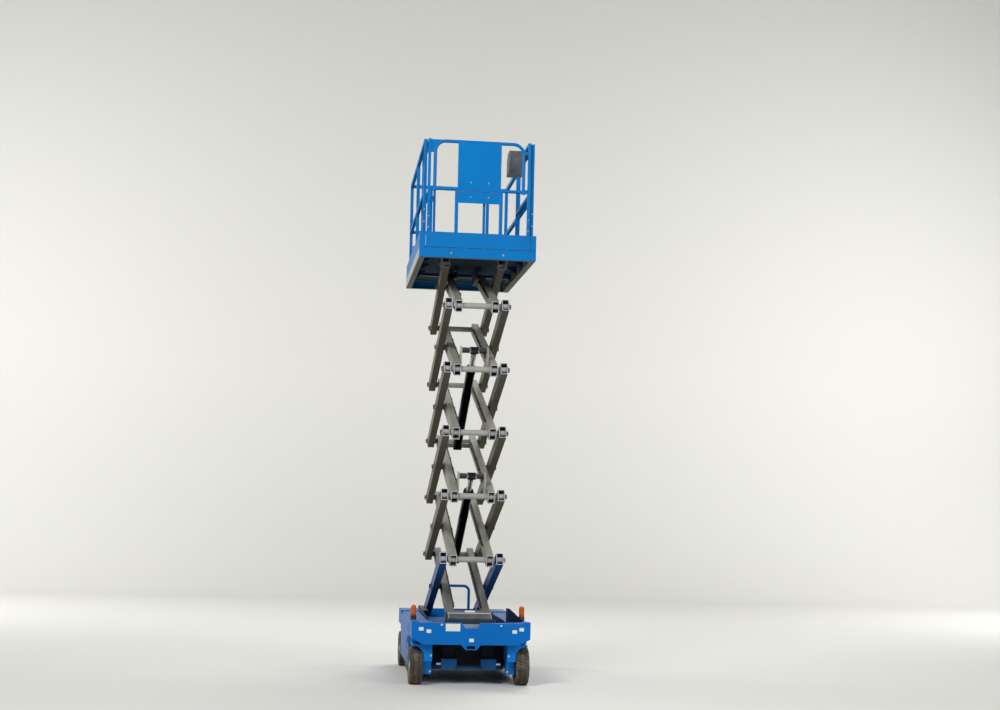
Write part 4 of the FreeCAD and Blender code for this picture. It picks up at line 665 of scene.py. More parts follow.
@dataclass(frozen=True)
class Rubber(Finish):
    """Moulded rubber: matt, pale where it scuffs, dust pressed into its pores."""

    scuff: str = "#77705F"
    pore_mm: float = 5.0

    def dress(self, tree: bpy.types.NodeTree, shader: bpy.types.Node) -> None:
        """Dusty patches over a pored matt surface."""
        place = add_node(tree, "TexCoord").outputs["Object"]
        dusty = add_node(tree, "TexNoise", {}, {"Vector": place, "Scale": 14.0, "Detail": 5.0}).outputs[0]
        dusty = add_node(tree, "MapRange", {}, {"Value": dusty, 1: 0.4, 2: 0.7, 3: 0.0, 4: 0.7}).outputs[0]
        colour = add_node(tree, "Mix", OVER,
                          {0: dusty, 6: linear(self.colour), 7: linear(self.scuff)}).outputs[2]
        tree.links.new(colour, shader.inputs["Base Color"])
        pores = add_node(tree, "TexNoise", {}, {"Vector": place, "Scale": 1000 / self.pore_mm, "Detail": 3.0})
        bump = add_node(tree, "Bump", {}, {"Height": pores.outputs[0], "Strength": 0.3, "Distance": 0.0006})
        tree.links.new(bump.outputs[0], shader.inputs["Normal"])
        shader.inputs["Specular IOR Level"].default_value = 0.3


@dataclass(frozen=True)
class MouldedPlastic(Finish):
    """Injection-moulded plastic: spark-eroded texture, slightly shiny, colour even."""

    texture_mm: float = 2.5

    def dress(self, tree: bpy.types.NodeTree, shader: bpy.types.Node) -> None:
        """A fine stipple, and handling marks that lift the gloss."""
        place = add_node(tree, "TexCoord").outputs["Object"]
        hand = add_node(tree, "TexNoise", {}, {"Vector": place, "Scale": 18.0, "Detail": 3.0}).outputs[0]
        paler = add_node(tree, "MapRange", {}, {"Value": hand, 1: 0.4, 2: 0.8, 3: 0.0, 4: 0.25}).outputs[0]
        colour = add_node(tree, "Mix", OVER,
                          {0: paler, 6: linear(self.colour), 7: linear("#8A8A86")}).outputs[2]
        tree.links.new(colour, shader.inputs["Base Color"])
        dots = add_node(tree, "TexVoronoi", {}, {"Vector": place, "Scale": 1000 / self.texture_mm}).outputs[0]
        bump = add_node(tree, "Bump", {}, {"Height": dots, "Strength": 0.15, "Distance": 0.0003})
        tree.links.new(bump.outputs[0], shader.inputs["Normal"])


@dataclass(frozen=True)
class AmberLens(Finish):
    """Moulded amber acrylic: the light goes in and comes back orange, broken by flutes inside the dome."""

    flute_mm: float = 21.58
    glow: float = 0.06

    def dress(self, tree: bpy.types.NodeTree, shader: bpy.types.Node) -> None:
        """Amber body with level flutes, darker towards the foot."""
        place = add_node(tree, "TexCoord").outputs["Object"]
        height = add_node(tree, "SeparateXYZ", {}, {0: place}).outputs[2]
        foot = add_node(tree, "MapRange", {}, {"Value": height, 1: 0.71, 2: 0.67, 3: 0.0, 4: 0.8}).outputs[0]
        colour = add_node(tree, "Mix", OVER,
                          {0: foot, 6: linear(self.colour), 7: linear("#7A2E06")}).outputs[2]
        tree.links.new(colour, shader.inputs["Base Color"])
        # A wave of scale s has its crests pi / (10 s) metres apart
        wave = {"wave_type": "BANDS", "bands_direction": "Z"}
        flutes = add_node(tree, "TexWave", wave, {"Vector": place, "Scale": 100 * math.pi / self.flute_mm})
        bump = add_node(tree, "Bump", {}, {"Height": flutes.outputs[1], "Strength": 0.5, "Distance": 0.001})
        tree.links.new(bump.outputs[0], shader.inputs["Normal"])
        shader.inputs["Transmission Weight"].default_value = 0.35
        shader.inputs["IOR"].default_value = 1.49
        # A faint emission is painted light: the lens is not lit, yet glows a little in its own colour
        shader.inputs["Emission Color"].default_value = linear(self.colour)
        shader.inputs["Emission Strength"].default_value = self.glow


@dataclass(frozen=True)
class TreadPlate(PowderCoat):
    """Rolled tread plate, painted: the paint is worn where lozenges stand up, with dust between them."""

    pitch_mm: float = 30.0

    def base(self, tree: bpy.types.NodeTree, place: Socket) -> Socket:
        """Paint worn pale on the lozenges, which lie in a woven order."""
        mapped = add_node(tree, "Mapping", {}, {"Vector": place, "Rotation": (0.0, 0.0, math.pi / 4),
                                                "Scale": (1000 / self.pitch_mm,) * 3}).outputs[0]
        checks = add_node(tree, "TexChecker", {}, {"Vector": mapped, "Scale": 1.0}).outputs["Fac"]
        mask = add_node(tree, "Math", TIMES, {0: checks, 1: 0.25}).outputs[0]
        return add_node(tree, "Mix", OVER, {0: mask, 6: linear(self.colour), 7: linear(self.worn)}).outputs[2]


@dataclass(frozen=True)
class Vinyl(Finish):
    """Blank printed vinyl or thin anodised plate: satin, slightly yellowed, with a soft scuffed film."""

    def dress(self, tree: bpy.types.NodeTree, shader: bpy.types.Node) -> None:
        """A pale sheet with faint handling marks."""
        place = add_node(tree, "TexCoord").outputs["Object"]
        marks = add_node(tree, "TexNoise", {}, {"Vector": place, "Scale": 60.0, "Detail": 4.0}).outputs[0]
        marks = add_node(tree, "MapRange", {}, {"Value": marks, 1: 0.45, 2: 0.8, 3: 0.0, 4: 0.35}).outputs[0]
        colour = add_node(tree, "Mix", OVER,
                          {0: marks, 6: linear(self.colour), 7: linear("#A9A79C")}).outputs[2]
        tree.links.new(colour, shader.inputs["Base Color"])
        bump = add_node(tree, "Bump", {}, {"Height": marks, "Strength": 0.1, "Distance": 0.0003})
        tree.links.new(bump.outputs[0], shader.inputs["Normal"])


# Where the zones of the finishes end, from the CAD model
SIDE_BEAM = 0.524
FRONT_PLATE = -1.0
REAR_PLATE = 1.21
TUBE_SIDE = 0.147

CHASSIS_BLUE = PowderCoat("powder_coated_steel_blue", "#0062B0", 0.42, grime=0.8, gloss=0.15)
NOSE_BLUE = PowderCoat("powder_coated_nose_blue", "#0066B6", 0.42, grime=0.1, gloss=0.12)
# The yoke legs are drawn a brighter blue than the nose: painted light against the shade under it
LEG_BLUE = PowderCoat("powder_coated_leg_blue_painted_light", "#0076CC", 0.42, grime=0.1, gloss=0.12)
PLATFORM_BLUE = PowderCoat("powder_coated_steel_azure", "#006EB4", 0.40, dustiness=0.15, gloss=0.12)
# Under the nose the frame is drawn near-black as painted shade, but for the lowest bar; low down it carries
# road film
BELLY_PAINT = PowderCoat("powder_coated_belly_painted_shade", "#00508C", 0.5, grime=0.5, gloss=0.12, zones=(
    Zone("#0C1016", along=(-INF, -0.30), height=(0.168, INF)),
))
# The platform frame: blue ends, navy members, side beams left rolled grey, and every face that looks down
# drawn mid grey as painted shade on the beams' lower flanges
FRAME_PAINT = PowderCoat("powder_coated_frame_two_tone_painted_shade", "#006EB4", 0.42, gloss=0.12, zones=(
    Zone("#0A2E5C", across=(-INF, SIDE_BEAM), along=(FRONT_PLATE, REAR_PLATE)),
    Zone("#AEB0AE", across=(SIDE_BEAM, INF), along=(FRONT_PLATE, INF)),
    Zone("#75776F", facing_up=(-INF, -0.6), along=(FRONT_PLATE, INF)),
))
# The decks: grey tread plate, drawn dark blue-grey on faces that look down as painted shade; the toeboards in
# front are blue
DECK_PLATE = TreadPlate("rolled_tread_plate_grey", "#7E827F", 0.5, dustiness=0.5, zones=(
    Zone("#36434A", facing_up=(-INF, -0.5)),
    Zone("#053A66", along=(-INF, -1.0195)),
))
EXTENSION_PLATE = TreadPlate(
    "rolled_tread_plate_blue_toeboard", "#7E827F", 0.5, dustiness=0.4, gloss=0.12, zones=(
        Zone("#36434A", facing_up=(-INF, -0.5)),
        Zone("#006EB4", along=(-INF, -1.0160)),
        Zone("#006EB4", height=(4.405, INF)),
    ))
# Inner and outer arms share one grey paint; the inner arms' grey is drawn lighter as painted light on faces
# that look up, the outer arms' darker as painted shade on their undersides
# Inner arms: paler cross tubes, the cylinder bracket between them drawn near-black as painted shade, bright
# outer cheeks
INNER_ARM = ArmPaint("powder_coated_arm_painted_light_grey", "#86847A", 0.45, worn="#C4C4BE", zones=(
    Zone("#9C9C96", across=(-INF, TUBE_SIDE)),
    Zone("#34363A", across=(-INF, 0.122), along=(-0.945, -0.86)),
    Zone("#A9AAA8", across=(0.219, INF)),
))
# Outer arms: the shared arm grey, drawn darker as painted shade
OUTER_ARM = ArmPaint("powder_coated_arm_painted_shade_grey", "#5E5A50", 0.45, worn="#B4B4AE", dust="#A4A29A", dustiness=0.8)
LOW_ARM = ArmPaint(
    "powder_coated_arm_navy", "#2A4C7C", 0.42, worn="#7E8894", streak="#1A3050", gloss=0.15, zones=(
        Zone("#8B897F", across=(0.32, INF), height=(1.1, INF)),
    ))
# The lowest inner arms carry a darker sheet over their ends, in front of the pale cross box
FOOT_ARM = ArmPaint("powder_coated_arm_foot_grey", "#575756", 0.45, worn="#C4C4BE", streak="#4A4A48", zones=(
    Zone("#9C9C96", across=(-INF, TUBE_SIDE), along=(0.0, INF)),
    Zone("#37424A", along=(-INF, -0.957), height=(-INF, 0.75)),
))
# The plate that closes their ends: dark above, drawn pale below 612 mm as painted light where it shows in the
# shaded notch of the nose
END_PLATE = PowderCoat("powder_coated_end_plate_painted_light", "#3E4A52", 0.45, zones=(
    Zone("#B9C8D2", height=(-INF, 0.612)),
))
# Sawn tube ends and box edges drawn paler than the paint beside them: painted highlight where they catch the
# light
CUT_EDGE_HIGHLIGHT = PowderCoat("powder_coated_cut_edge_painted_highlight", "#C9CBCB", 0.4, worn="#E2E2E0")
# The slant cover's front and sides are drawn near-black as painted shade; its sloped top stays blue
COVER_PAINT = PowderCoat("powder_coated_cover_painted_shade_ends", "#0062B0", 0.42, gloss=0.15, zones=(
    Zone("#0A1830", facing_up=(-INF, 0.3)),
))
# The steer carrier is drawn near-black above 258 mm as painted shade, where it sits up under the nose
CARRIER_BLUE = PowderCoat("powder_coated_carrier_blue_painted_shade", "#004C84", 0.5, grime=0.3, gloss=0.12, zones=(
    Zone("#0B1420", height=(0.258, INF)),
))
BUSH = PowderCoat("plated_bush_sleeve", "#9DA0A8", 0.4, worn="#D0D0CE", gloss=0.4)
DARK_STEEL = PowderCoat("painted_dark_steel", "#1E2022", 0.5, worn="#6A6A68", dustiness=0.4, grime=0.5)
BARREL = PowderCoat("gloss_black_enamel", "#08080A", 0.28, worn="#4A4A48", dustiness=0.25, gloss=0.4)
RIM = PowderCoat("cast_rim_grey_paint", "#8F9294", 0.45, grime=0.6)
WELD = PowderCoat("painted_weld_bead", "#94928A", 0.5, worn="#C4C4BE")
ZINC = Metal("zinc_plated_steel", "#D6D8D8", 0.30)
CHROME = Metal("hard_chromed_rod", "#DCDEE0", 0.12, grain_mm=4.0, grain_depth=0.05, tarnished=0.08)
# The rods' eyes are drawn near-black as painted shade
EYED_ROD = EyedRod("hard_chromed_rod_painted_shade_eye", "#C8CACC", 0.16, grain_mm=4.0, grain_depth=0.05,
                   tarnished=0.25)
TYRE = Rubber("moulded_non_marking_rubber", "#453F36", 0.88)
HOSE = Rubber("wrapped_hydraulic_hose", "#0D0D0E", 0.55, scuff="#262624", pore_mm=3.0)
GRIP = Rubber("moulded_black_grip", "#1A1A1B", 0.7, scuff="#3A3A38")
PLASTIC = MouldedPlastic("moulded_black_abs", "#131416", 0.5)
CASE = MouldedPlastic("moulded_grey_case", "#4A4E51", 0.5)
HEAVY = MouldedPlastic("moulded_battery_case", "#2B2C2E", 0.6)
SIGNAL_RED = MouldedPlastic("moulded_red_button", "#B3161B", 0.35)
SIGNAL_YELLOW = MouldedPlastic("moulded_yellow_collar", "#E0B414", 0.4)
AMBER = AmberLens("moulded_amber_acrylic", "#CC6410", 0.15)
BLANK = Vinyl("blank_vinyl_plate", "#D8D9D2", 0.42)


class Slot(Enum):
    """The record's material slots, by name; no piece here is given one."""

    ARM = "arm_grey"
    CHASSIS = "chassis_blue"
    PLATFORM = "platform_blue"
    DARK = "dark_steel"
    ROD = "bright_rod"
    TYRE = "tyre_rubber"
    AMBER = "amber"
    PLASTIC = "black_plastic"
    PLATE = "grey_plate"


def meshed(name: str, shape: Surface, finish: Finish) -> bpy.types.Object:
    """A smooth-shaded object in the scene, from its surface.

    Args:
        name: The name of the object and its mesh.
        shape: Its points and faces, where they belong.
        finish: What it is made of.

    Returns:
        The Blender object.
    """
    mesh = bpy.data.meshes.new(name)
    mesh.from_pydata(shape.points.tolist(), [], [f for group in shape.faces for f in group.tolist()])
    mesh.polygons.foreach_set("use_smooth", np.ones(len(mesh.polygons), bool))
    mesh.materials.append(finish.material())
    item = bpy.data.objects.new(name, mesh)
    bpy.context.scene.collection.objects.link(item)
    return item


def make_piece(name: str, shape: Surface, finish: Finish, body: str,
               bevel: float = 0.0, smooth: float = 35.0) -> bpy.types.Object:
    """A new piece of the machine, its points joined and its faces turned outward.

    Args:
        name: The piece's name.
        shape: Its points and faces, where they belong.
        finish: What it is made of.
        body: The CAD body that it moves with.
        bevel: Width of its rounded edges, or 0.
        smooth: Angle in degrees under which two faces are shaded as one.

    Returns:
        The Blender object.
    """
    piece = meshed(name, shape, finish)
    mesh = piece.data
    work = bmesh.new()
    work.from_mesh(mesh)
    bmesh.ops.remove_doubles(work, verts=work.verts, dist=1e-6)
    bmesh.ops.recalc_face_normals(work, faces=work.faces)
    work.to_mesh(mesh)
    work.free()
    mesh.set_sharp_from_angle(angle=math.radians(smooth))
    if bevel:
        rounding = piece.modifiers.new("Rounding", "BEVEL")
        rounding.width = bevel
        rounding.segments = 2
        rounding.limit_method = "ANGLE"
        rounding.angle_limit = math.radians(40)
    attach(piece, body)
    LOG.info("%s: %d points on %s", name, len(mesh.vertices), body)
    return piece


def repaint(finish: Finish, *nodes: str) -> None:
    """Gives CAD nodes their finish, in each of their material slots.

    Args:
        finish: What they are made of.
        nodes: The nodes' names.
    """
    for node in nodes:
        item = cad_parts[node]
        if not item.material_slots:
            item.data.materials.append(None)
        for holder in item.material_slots:
            holder.link = "OBJECT"
            holder.material = finish.material()


# Sub-assemblies

SIDES = (("left", -1), ("right", 1))


@dataclass
class Wheels:
    """Four solid tyres on cast rims, with tread, hub nuts and a dust cap."""

    radius: float = 0.1905
    width: float = 0.130
    seat_radius: float = 0.138
    middle_x: float = 0.532
    axles: tuple[tuple[str, float], ...] = (("steer", -0.985), ("rear", 0.865))
    shoulder: float = 0.014
    bulge: float = 0.002
    lugs: int = 36
    slant: float = 14.0
    groove: float = 0.009
    edge: float = 0.004
    rib_half: float = 0.012
    ring_x: float = 0.030
    steps: int = 480
    nut_count: int = 5
    nut_circle: float = 0.088
    first_nut: float = 18.0
    outside: float = 0.7

    def tyre(self, x: float, y: float) -> Surface:
        """One tyre: a section (across, r) turned about the axle, with r lowered where the tread is cut.

        The cut is deepest where frac(lugs * turn + slant * |across|) is near a half, on both sides of a
        middle rib, and along two rings at a quarter of the width; it fades out at the shoulders.

        Args:
            x: Middle of the tyre across the machine.
            y: Its axle along the machine.

        Returns:
            The closed surface.
        """
        half = self.width / 2
        bend = np.radians(np.linspace(0, 90, 5))
        side = np.linspace(self.seat_radius, self.radius - self.shoulder, 7)[:-1]
        swell = self.bulge * np.sin(np.pi * (side - self.seat_radius) / (self.radius - self.seat_radius))
        wall_x = -half + self.bulge - swell
        round_x = -half + self.shoulder - self.shoulder * np.cos(bend)
        round_r = self.radius - self.shoulder + self.shoulder * np.sin(bend)
        crown_x = np.linspace(-half + self.shoulder, half - self.shoulder, 30)[1:-1]
        across = np.concatenate([wall_x, round_x, crown_x, -round_x[::-1], -wall_x[::-1]])
        crown_r = np.full(len(crown_x), self.radius)
        r = np.concatenate([side, round_r, crown_r, round_r[::-1], side[::-1]])
        out = np.abs(across)
        turn = np.linspace(0, 2 * np.pi, self.steps, endpoint=False)[:, None]
        phase = self.lugs * turn / (2 * np.pi) + self.slant * out + 0.5 * (across > 0)
        lug = np.clip(1 - np.abs(np.mod(phase, 1) - 0.5) / 0.2, 0, 1)
        lug *= np.clip((out - self.rib_half) / self.edge, 0, 1)
        ring = np.clip(1 - np.abs(out - self.ring_x) / self.edge, 0, 1)
        tread = np.clip((r - self.radius + self.shoulder) / self.shoulder, 0, 1)
        radius = r - self.groove * tread * np.clip(np.maximum(lug, 0.8 * ring) * 1.6, 0, 1)
        points = np.stack([
            np.broadcast_to(x + across, radius.shape),
            y + radius * np.cos(turn),
            self.radius + radius * np.sin(turn),
        ], -1)
        return grid(points, wrap=(True, True))

    def nuts(self, side: int, y: float, node: str) -> Surface:
        """Hexagon nuts in a ring on the wheel disc, and a dust cap on the hub."""
        start = np.array([side * self.outside, y, self.radius])
        turns = np.radians(self.first_nut + np.arange(self.nut_count) * 360 / self.nut_count)
        ring = self.nut_circle * np.stack([0 * turns, np.cos(turns), np.sin(turns)], -1)
        spots = [seat(node, start + offset, -side * X) for offset in ring]
        cap = lathe([(0, 0), (0, 0.040), (0.004, 0.038), (0.007, 0.030), (0.009, 0.012), (0.0095, 0)], 40)
        # The hub's own face is met beside its middle, where its mesh has no pole
        hub = seat(node, start + (0, 0.011, 0.007), -side * X).point[0]
        lid = Seat(np.array([hub, y, self.radius]), side * X)
        return joined([seated(hex_bolt(0.010), spots), seated(cap, [lid])])

    def build(self) -> None:
        """Replaces the four plain tyres and dresses the rims."""
        for word, side in SIDES:
            for place, y in self.axles:
                tag = "%s_%s" % (place, word)
                tyre, rim, body = "tyre_" + tag, "rim_" + tag, "wheel_" + tag
                tread = make_piece("tread_" + tag, self.tyre(side * self.middle_x, y), TYRE, body,
                                   smooth=28)
                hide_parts(tyre)
                repaint(RIM, rim)
                make_piece("wheel_nuts_" + tag, self.nuts(side, y, rim), ZINC, body)


@dataclass
class ArmStack:
    """The six levels of inner and outer arms, with rims, bushes, bolts, welds and clipped hoses."""

    near_y: float = -1.045
    first_z: float = 0.620
    length: float = 2.060
    slope: float = 17.9
    overhang: float = 0.045
    top_half: float = 0.540
    inner_x: float = 0.183
    outer_x: float = 0.2835
    tube_width: float = 0.070
    tube_height: float = 0.120
    wall: float = 0.006
    levels: int = 6
    sleeve: float = 0.029
    plate_face: float = 0.3225
    keeper_reach: float = 0.022
    hose_lift: float = 0.042
    hose_radius: float = 0.009
    hose_bend: float = 0.035
    hose_off: float = 0.0015
    hose_dip: float = 0.004
    hose_start: float = 0.34
    hose_stop: float = 1.83
    hose_stop_top: float = 1.35
    clip_pitch: float = 0.40
    clip_start: float = 0.40
    clip_stop: float = 1.78
    clip_stop_top: float = 1.30
    foot_width: float = 0.434

    def line(self, level: int, outer: bool) -> tuple[Array, Array, Array, Array]:
        """Where an arm lies: inner arms climb from their near end, outer arms fall.

        Args:
            level: From 1 at the foot to 6 at the top.
            outer: Whether it is an outer arm.

        Returns:
            Its near and far pivot on the machine's middle plane, and the directions along it and up from it.
        """
        turn = math.radians(self.slope)
        rise = self.length * math.sin(turn)
        way = np.array([0, math.cos(turn), -math.sin(turn) if outer else math.sin(turn)])
        near = np.array([0, self.near_y, self.first_z + (level - 1 + outer) * rise])
        far = near + way * self.length
        if level == self.levels:
            middle = (near + far) / 2
            if outer:
                near = middle - way * self.top_half
            else:
                far = middle + way * self.top_half
        return near, far, way, np.cross(X, way)

    def rims(self, level: int, outer: bool) -> Surface:
        """Pale rims round the sawn open tube ends of one pair of arms, drawn bright as painted highlight; the
        foot's plate closes two ends.
        """
        near, far, way, _ = self.line(level, outer)
        inset = 0.0006
        width, height = self.tube_width - inset, self.tube_height - inset
        hollow = 2 * (self.wall - inset)
        inside = rounded(width - hollow, height - hollow, 0.003)
        ring = band(rounded(width, height, 0.004), inside, -0.0004, 0.0012)
        x = self.outer_x if outer else self.inner_x
        tips = [(near - way * self.overhang, -way), (far + way * self.overhang, way)]
        closed = level == 1 and not outer
        return joined([ring.turned(axes(facing)).moved(point + side * x * X)
                       for point, facing in tips[closed:] for side in (-1, 1)])

    def bushes(self, level: int, outer: bool) -> Surface:
        """Plated sleeves round the pins, inside the open tube ends of one pair of arms."""
        near, far, _, _ = self.line(level, outer)
        half = self.tube_width / 2 - self.wall - 0.0005
        turn = np.linspace(0, 2 * np.pi, 32, endpoint=False)
        circle = np.stack([np.cos(turn), np.sin(turn)], -1)
        outside, inside = circle * (self.sleeve + 0.0008), circle * (self.sleeve - 0.002)
        sleeve = band(outside, inside, -half, half).turned(axes(X))
        x = self.outer_x if outer else self.inner_x
        return sleeve.repeated([pivot + side * x * X for pivot in (near, far) for side in (-1, 1)])

    def pin_bolts(self, level: int) -> Surface:
        """Two keeper bolts on each retaining plate of one outer pair, on a slant across the plate."""
        near, far, way, rise = self.line(level, True)
        node = "outer_arms_%d" % level
        points = [pivot + sign * self.keeper_reach * (way + rise)
                  for pivot in (near, (near + far) / 2, far) for sign in (-1, 1)]
        spots = [seat(node, p + 2 * side * self.outer_x * X, -side * X) for p in points for side in (-1, 1)]
        return seated(hex_bolt(0.0055), [spot for spot in spots if abs(spot.point[0]) > self.plate_face])

    def hose(self, level: int, side: int) -> Surface:
        """One hose along the inner face of an inner arm: out of the tube on a bend, along it, and back in.

        On the bends the line is start - R cos a along the arm and R (1 - sin a) into it, for a from 10 to 90
        degrees. Between clips it dips by 4 mm sin^2.

        Args:
            level: The arm's level.
            side: -1 for the left arm, 1 for the right.

        Returns:
            The hose's surface, with a grommet at each end.
        """
        near, _, way, rise = self.line(level, False)
        start, stop = self.hose_start, self.hose_stop_top if level == self.levels else self.hose_stop
        bend = np.radians(np.linspace(10, 90, 9))[:-1]
        run = np.linspace(start, stop, 60)
        s = np.concatenate([start - self.hose_bend * np.cos(bend), run,
                            (stop + self.hose_bend * np.cos(bend))[::-1]])[:, None]
        into = self.hose_bend * (1 - np.sin(bend))
        into = np.concatenate([into, 0 * run, into[::-1]])[:, None]
        dip = self.hose_dip * np.sin(np.pi * (s - start) / self.clip_pitch) ** 2
        face = self.inner_x - self.tube_width / 2
        x = side * (face - self.hose_radius - self.hose_off + into)
        path = near + s * way + (self.hose_lift - dip) * rise + x * X
        depth = (self.hose_radius + self.hose_off) / self.hose_bend
        reach = self.hose_bend * math.cos(math.asin(1 - depth))
        grommet = bead(self.hose_radius + 0.002, 0.003, 8).turned(axes(X))
        rings = [near + at * way + self.hose_lift * rise + side * face * X
                 for at in (start - reach, stop + reach)]
        return joined([tube(path, self.hose_radius), grommet.repeated(rings)])

    def clips(self, level: int, side: int) -> Surface:
        """Straps that hold one hose, each a folded strip over it with a bolted tab."""
        near, _, way, rise = self.line(level, False)
        stop = self.clip_stop_top if level == self.levels else self.clip_stop
        reach = self.hose_radius + 0.003
        strip = prism(rounded(0.022, 2 * reach, 0.006), 0.0, 2 * self.hose_radius + 0.0035)
        tab = prism(rounded(0.022, 0.03, 0.004), 0.0, 0.003)
        turn = np.stack([way, np.cross(-side * X, way), -side * X], axis=1)
        count = int((stop - self.clip_start) / self.clip_pitch) + 1
        places = self.clip_start + 0.02 + np.arange(count) * self.clip_pitch
        line = near + places[:, None] * way + side * (self.inner_x - self.tube_width / 2) * X
        tab_lift = self.hose_lift - reach - 0.012
        return joined([strip.turned(turn).repeated(line + self.hose_lift * rise),
                       tab.turned(turn).repeated(line + tab_lift * rise)])

    def welds(self, level: int) -> Surface:
        """Weld beads where the cross tubes of one inner pair meet its arms."""
        near, far, _, _ = self.line(level, False)
        ring = bead(self.sleeve + 0.001, 0.0035, 24).turned(axes(X))
        face = self.inner_x - self.tube_width / 2 - 0.001
        pivots = (near,) if level == self.levels else (near, far)
        return ring.repeated([p + side * face * X for p in pivots for side in (-1, 1)])

    def foot(self) -> None:
        """Adds the blank label and pale edge strip of the lowest pair's cross box, and the edges of its
        sheet, the strips drawn pale as painted highlight.
        """
        node, body, above = "inner_arms_1", "inner_pair_1", 1.0
        label = prism(rounded(0.104, 0.048, 0.003), 0, 0.0008)
        label = seated(label, [seat(node, (0.012, -0.926, above), -Z)])
        make_piece("blank_plate_cross_box", label, BLANK, body)
        bar = prism(rounded(self.foot_width, 0.018, 0.002), 0, 0.003)
        strip = prism(rounded(0.005, 0.140, 0.001), 0, 0.0015)
        sides = [seat(node, (side * 0.2150, -1.020, above), -Z) for side in (-1, 1)]
        edges = joined([seated(bar, [seat(node, (0, -0.972, above), -Z)]), seated(strip, sides)])
        make_piece("foot_edges", edges, CUT_EDGE_HIGHLIGHT, body)
        near, _, way, _ = self.line(1, False)
        sheet = prism(rounded(self.foot_width, self.tube_height - 0.001, 0.004), 0.0, 0.002)
        sheet = sheet.turned(axes(-way)).moved(near - way * self.overhang)
        make_piece("foot_end_plate", sheet, END_PLATE, body)

    def build(self) -> None:
        """Paints the arms and adds what is sawn, pressed, bolted, welded and clipped to them."""
        for level in range(1, self.levels + 1):
            repaint(FOOT_ARM if level == 1 else INNER_ARM, "inner_arms_%d" % level)
            repaint(LOW_ARM if level == 1 else OUTER_ARM, "outer_arms_%d" % level)
            inner, outer = "inner_pair_%d" % level, "outer_pair_%d" % level
            for stem, shape, finish in (("tube_rims", self.rims, CUT_EDGE_HIGHLIGHT), ("bushes", self.bushes, BUSH)):
                make_piece("%s_inner_%d" % (stem, level), shape(level, False), finish, inner)
                make_piece("%s_outer_%d" % (stem, level), shape(level, True), finish, outer)
            make_piece("pin_bolts_%d" % level, self.pin_bolts(level), ZINC, outer)
            make_piece("weld_beads_%d" % level, self.welds(level), WELD, inner)
            hoses = joined([self.hose(level, side) for side in (-1, 1)])
            make_piece("hoses_%d" % level, hoses, HOSE, inner)
            straps = joined([self.clips(level, side) for side in (-1, 1)])
            make_piece("hose_clips_%d" % level, straps, DARK_STEEL, inner, bevel=0.001)
        self.foot()


@dataclass
class LiftCylinders:
    """The two lift cylinders: gloss barrels and chromed rods."""

    places: tuple[str, ...] = ("lower", "upper")

    def build(self) -> None:
        """Gives the barrels and rods their finishes."""
        for place in self.places:
            repaint(BARREL, place + "_cylinder_barrel")
            repaint(EYED_ROD, place + "_cylinder_rod")


@dataclass
class Chassis:
    """Nose, tail, centre frame and what is bolted to them."""

    before: float = -1.7
    plate: tuple[float, float] = (0.144, 0.074)
    plate_at: tuple[float, float] = (-0.182, 0.586)
    decal: tuple[float, float] = (0.046, 0.034)
    decals: tuple[tuple[float, float], ...] = (
        (-0.496, 0.569), (-0.420, 0.547), (0.432, 0.550), (0.501, 0.573), (0.004, 0.461),
    )
    bolts: tuple[tuple[float, float], ...] = ((-0.294, 0.610), (0.297, 0.607))
    leg_x: float = 0.388
    leg_bolts: tuple[float, float] = (0.135, 0.30)
    latch_at: tuple[float, float] = (-0.66, 0.42)
    beside: float = 0.8
    steps: tuple[float, float] = (0.333, 0.611)

    def on_face(self, x: float, z: float, node: str = "chassis_nose") -> Seat:
        """The spot on the front of a node at a place across and up."""
        return seat(node, (x, self.before, z), Y)

    def paint(self) -> None:
        """Gives every chassis node its finish."""
        repaint(CHASSIS_BLUE, "chassis_tail", "rear_axle", "tray_left", "tray_right", "entry_ladder")
        repaint(DARK_STEEL, "base_channels", "base_pivot", "tray_hinges", "guard_brackets",
                "pothole_guard_left", "pothole_guard_right")
        repaint(CHROME, "steer_rods")
        repaint(NOSE_BLUE, "chassis_nose")
        repaint(LEG_BLUE, "yoke_left", "yoke_right")
        repaint(COVER_PAINT, "slant_cover")
        repaint(CARRIER_BLUE, "steer_carrier")
        repaint(BELLY_PAINT, "centre_frame")
        repaint(HEAVY, "batteries", "hydraulic_unit")
        repaint(PLASTIC, "beacon_bases")

    def latch(self, word: str, side: int) -> Surface:
        """Flush paddle latch of a side tray: a raised bezel, its paddle and the pin it turns on."""
        spot = seat("tray_" + word, (side * self.beside, *self.latch_at), (-side, 0, 0))
        bezel = band(rounded(0.10, 0.07, 0.012), rounded(0.082, 0.052, 0.008), -0.001, 0.004)
        paddle = prism(rounded(0.076, 0.046, 0.006), -0.001, 0.0025, 0.06)
        pin = tube(np.linspace((-0.036, 0.014, 0.003), (0.036, 0.014, 0.003), 4), 0.0025, Z)
        return seated(joined([bezel, paddle, pin]), [spot])

    def build(self) -> None:
        """Paints the chassis and adds its blank plates, bolts, latches and step studs."""
        self.paint()
        big = seated(prism(rounded(*self.plate, 0.004), 0, 0.0012), [self.on_face(*self.plate_at)])
        small = prism(rounded(*self.decal, 0.004), 0, 0.0008)
        labels = seated(small, [self.on_face(*spot) for spot in self.decals])
        make_piece("blank_plates_front", joined([big, labels]), BLANK, "chassis")
        bolts = seated(button_head(0.010), [self.on_face(*spot) for spot in self.bolts])
        make_piece("face_bolts", bolts, ZINC, "chassis")
        for word, side in SIDES:
            tray, yoke = "tray_%s_body" % word, "yoke_%s_body" % word
            make_piece("tray_latch_" + word, self.latch(word, side), PLASTIC, tray)
            legs = [self.on_face(side * self.leg_x, z, "yoke_" + word) for z in self.leg_bolts]
            make_piece("leg_bolts_" + word, seated(hex_bolt(0.006), legs), ZINC, yoke)
        studs = joined([lozenges((-0.17, 0.18), (1.152, 1.212), z, 0.028) for z in self.steps])
        make_piece("step_studs", studs, CHASSIS_BLUE, "chassis")


